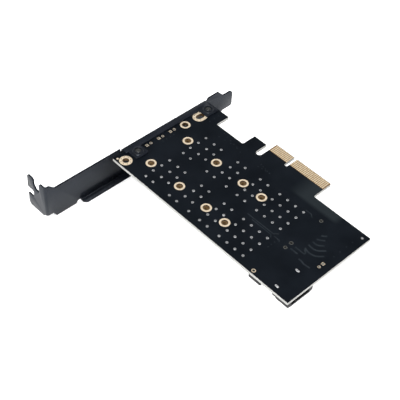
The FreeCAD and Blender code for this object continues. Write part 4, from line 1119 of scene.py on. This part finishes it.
# %% eased parts
EASED = (
    ("nvme_socket_shell", "nvme_socket_housing", 0.07, housing, "black_housing_plastic"),
    ("sata_socket_shell", "sata_socket_housing", 0.07, housing, "black_housing_plastic"),
    ("sata_connector_shell", "sata_connector_housing", 0.09, housing, "black_housing_plastic"),
    ("regulator_package", "regulator_body", 0.08, mould, "chip_mould"),
    ("inductor_block", "inductor_core", 0.25, ferrite, "inductor_ferrite"),
    ("bulk_capacitors", "bulk_capacitor_bodies", 0.08, ceramic, "ceramic_tan"),
    ("chip_capacitors", "capacitor_bodies", 0.04, ceramic, "ceramic_tan"),
    ("chip_resistors", "resistor_bodies", 0.03, resistor_film, "chip_mould"),
    ("status_lights", "status_led_bodies", 0.05, lens, "led_lens"),
    ("bulk_capacitor_caps", "bulk_capacitor_terminals", 0.08, tin, "tin_plating"),
    ("chip_capacitor_caps", "capacitor_terminals", 0.05, tin, "tin_plating"),
    ("resistor_caps", "resistor_terminals", 0.04, tin, "tin_plating"),
    ("status_light_caps", "status_led_terminals", 0.05, tin, "tin_plating"),
    ("inductor_feet", "inductor_terminals", 0.04, tin, "tin_plating"),
    ("nvme_hold_down_tabs", "nvme_socket_hold_downs", 0.05, tin, "tin_plating"),
    ("sata_hold_down_tabs", "sata_socket_hold_downs", 0.05, tin, "tin_plating"),
    ("lock_solder_mounds", "sata_lock_solder", 0.045, solder, "tin_plating"),
)
for eased_facts in EASED:
    eased_copy(*eased_facts)

# %% [markdown]
# ## Solder under the chip parts
# Molten solder wets the pad and climbs the end of a part, and sets as a small slope all round it. Each is a
# cube set on the board under one metal end, with its outer face drawn in.

# %% solder slopes
SOLDERED = {
    "capacitor_terminals": (0.28, 0.32),
    "resistor_terminals": (0.25, 0.25),
    "bulk_capacitor_terminals": (0.4, 0.6),
    "status_led_terminals": (0.25, 0.25),
    "nvme_socket_contacts": (0.06, 0.12),
    "sata_socket_contacts": (0.06, 0.12),
}
SOLDER_TIP = 0.02


def solder_slope(bm, low, high, spread_by, rise):
    """A low block under a metal end, narrower away from the board."""
    cube = bmesh.ops.create_cube(bm, size=1.0)["verts"]
    middle = (low + high) / 2
    for point in cube:
        outer = point.co.z < 0
        room = SOLDER_TIP if outer else spread_by
        point.co.x = middle.x + math.copysign((high.x - low.x) / 2 + room, point.co.x)
        point.co.y = middle.y + math.copysign((high.y - low.y) / 2 + room, point.co.y)
        point.co.z = BOARD_BOTTOM - (rise if outer else 0.0)


bm = bmesh.new()
for node_name, (spread_by, rise) in SOLDERED.items():
    for low, high in solids_of(node_name):
        solder_slope(bm, low, high, spread_by, rise)
finished_piece("solder_slopes", bm, solder, "tin_plating")

# %% [markdown]
# ## Contact beams in the module sockets
# Inside the mouth of each socket two rows of sprung beams meet the contacts of the module. The side outline
# of a beam is drawn with a few points and pushed out to its width. The two rows face each other and take
# turns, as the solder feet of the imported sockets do.

# %% socket beams
PIN_STEP = 0.5
BEAM_W = 0.2
MOUTH_LOW = BOARD_BOTTOM - 2.37
MOUTH_HIGH = BOARD_BOTTOM - 1.33
BEAM_FROM_X = 34.3
BEAM_TO_X = 37.2
BEAM_T = 0.1
BEAM_BEND_X, BEAM_CREST_X, BEAM_TIP_X = 35.6, 34.9, 34.55
BEAM_RISE, BEAM_TIP_RISE, BEAM_END_RISE = 0.22, 0.2, 0.06


def beam(bm, y, wall, inward):
    """One sprung strip on the wall at the given height, bent inwards near its tip."""
    outline = (
        (BEAM_TO_X, 0.0), (BEAM_BEND_X, 0.0), (BEAM_CREST_X, BEAM_RISE), (BEAM_TIP_X, BEAM_TIP_RISE),
        (BEAM_FROM_X, BEAM_END_RISE), (BEAM_FROM_X, BEAM_END_RISE + BEAM_T),
        (BEAM_TIP_X + 0.05, BEAM_TIP_RISE + BEAM_T), (BEAM_CREST_X + 0.05, BEAM_RISE + BEAM_T),
        (BEAM_BEND_X, BEAM_T), (BEAM_TO_X, BEAM_T))
    points = [bm.verts.new((x, y - BEAM_W / 2, wall + inward * rise)) for x, rise in outline]
    side = bm.faces.new(points)
    made = bmesh.ops.extrude_face_region(bm, geom=[side], use_keep_orig=True)["geom"]
    moved = [item for item in made if isinstance(item, bmesh.types.BMVert)]
    bmesh.ops.translate(bm, verts=moved, vec=(0, BEAM_W, 0))


bm = bmesh.new()
beam_count = 0
for node_name in ("nvme_socket_contacts", "sata_socket_contacts"):
    for low, high in solids_of(node_name):
        wall, inward = (MOUTH_HIGH, -1) if high.x < BEAM_TO_X else (MOUTH_LOW, 1)
        beam(bm, (low.y + high.y) / 2, wall, inward)
        beam_count += 1
bmesh.ops.recalc_face_normals(bm, faces=bm.faces)
finished_piece("socket_beams", bm, bronze, "contact_metal")
print("beams:", beam_count)

# %% [markdown]
# ## Comb on the sockets
# The upper beams lie in slots, and the walls between the slots show on the outer face as a comb of low
# ribs. Each rib is a cube stretched to size, laid between two pins on the flat of the shell.

# %% socket comb
RIB_W = 0.22
RIB_H = 0.05
RIB_FROM_X = 34.4
RIB_TO_X = 37.0
bm = bmesh.new()
for node_name, housing_node in (
        ("nvme_socket_contacts", "nvme_socket_housing"), ("sata_socket_contacts", "sata_socket_housing")):
    face_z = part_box(housing_node)[0].z / MM
    for low, high in solids_of(node_name):
        if high.x < BEAM_TO_X:
            rib_y = (low.y + high.y) / 2 + PIN_STEP / 2
            place = Matrix.Translation(((RIB_FROM_X + RIB_TO_X) / 2, rib_y, face_z))
            shape = Matrix.Diagonal((RIB_TO_X - RIB_FROM_X, RIB_W, 2 * RIB_H, 1))
            bmesh.ops.create_cube(bm, size=1.0, matrix=place @ shape)
finished_piece("socket_comb", bm, housing, "black_housing_plastic")

# %% [markdown]
# ## First-pin dimple
# The regulator carries a small round dimple by its first lead. It is a shallow turned dish in the hole-shade
# finish, a little darker than the body: painted shade for the dip.

# %% regulator dimple
DIMPLE_R = 0.35
DIMPLE_STEPS = 20
DIMPLE_INSET = 0.75
regulator_low = solids_of("regulator_body")[0][0]
dimple_place = (regulator_low.x + DIMPLE_INSET, regulator_low.y + DIMPLE_INSET, None)


def dimple(size):
    """A thin dish of painted shade on the face of the regulator."""
    face = regulator_low.z
    return [
        (0.0, face - 0.004), (DIMPLE_R * 0.8, face - 0.006), (DIMPLE_R, face - 0.012),
        (DIMPLE_R, face + 0.02), (0.0, face + 0.02)]


turned_set("regulator_dimple", [dimple_place], dimple, DIMPLE_STEPS, hole_shade, "chip_mould")
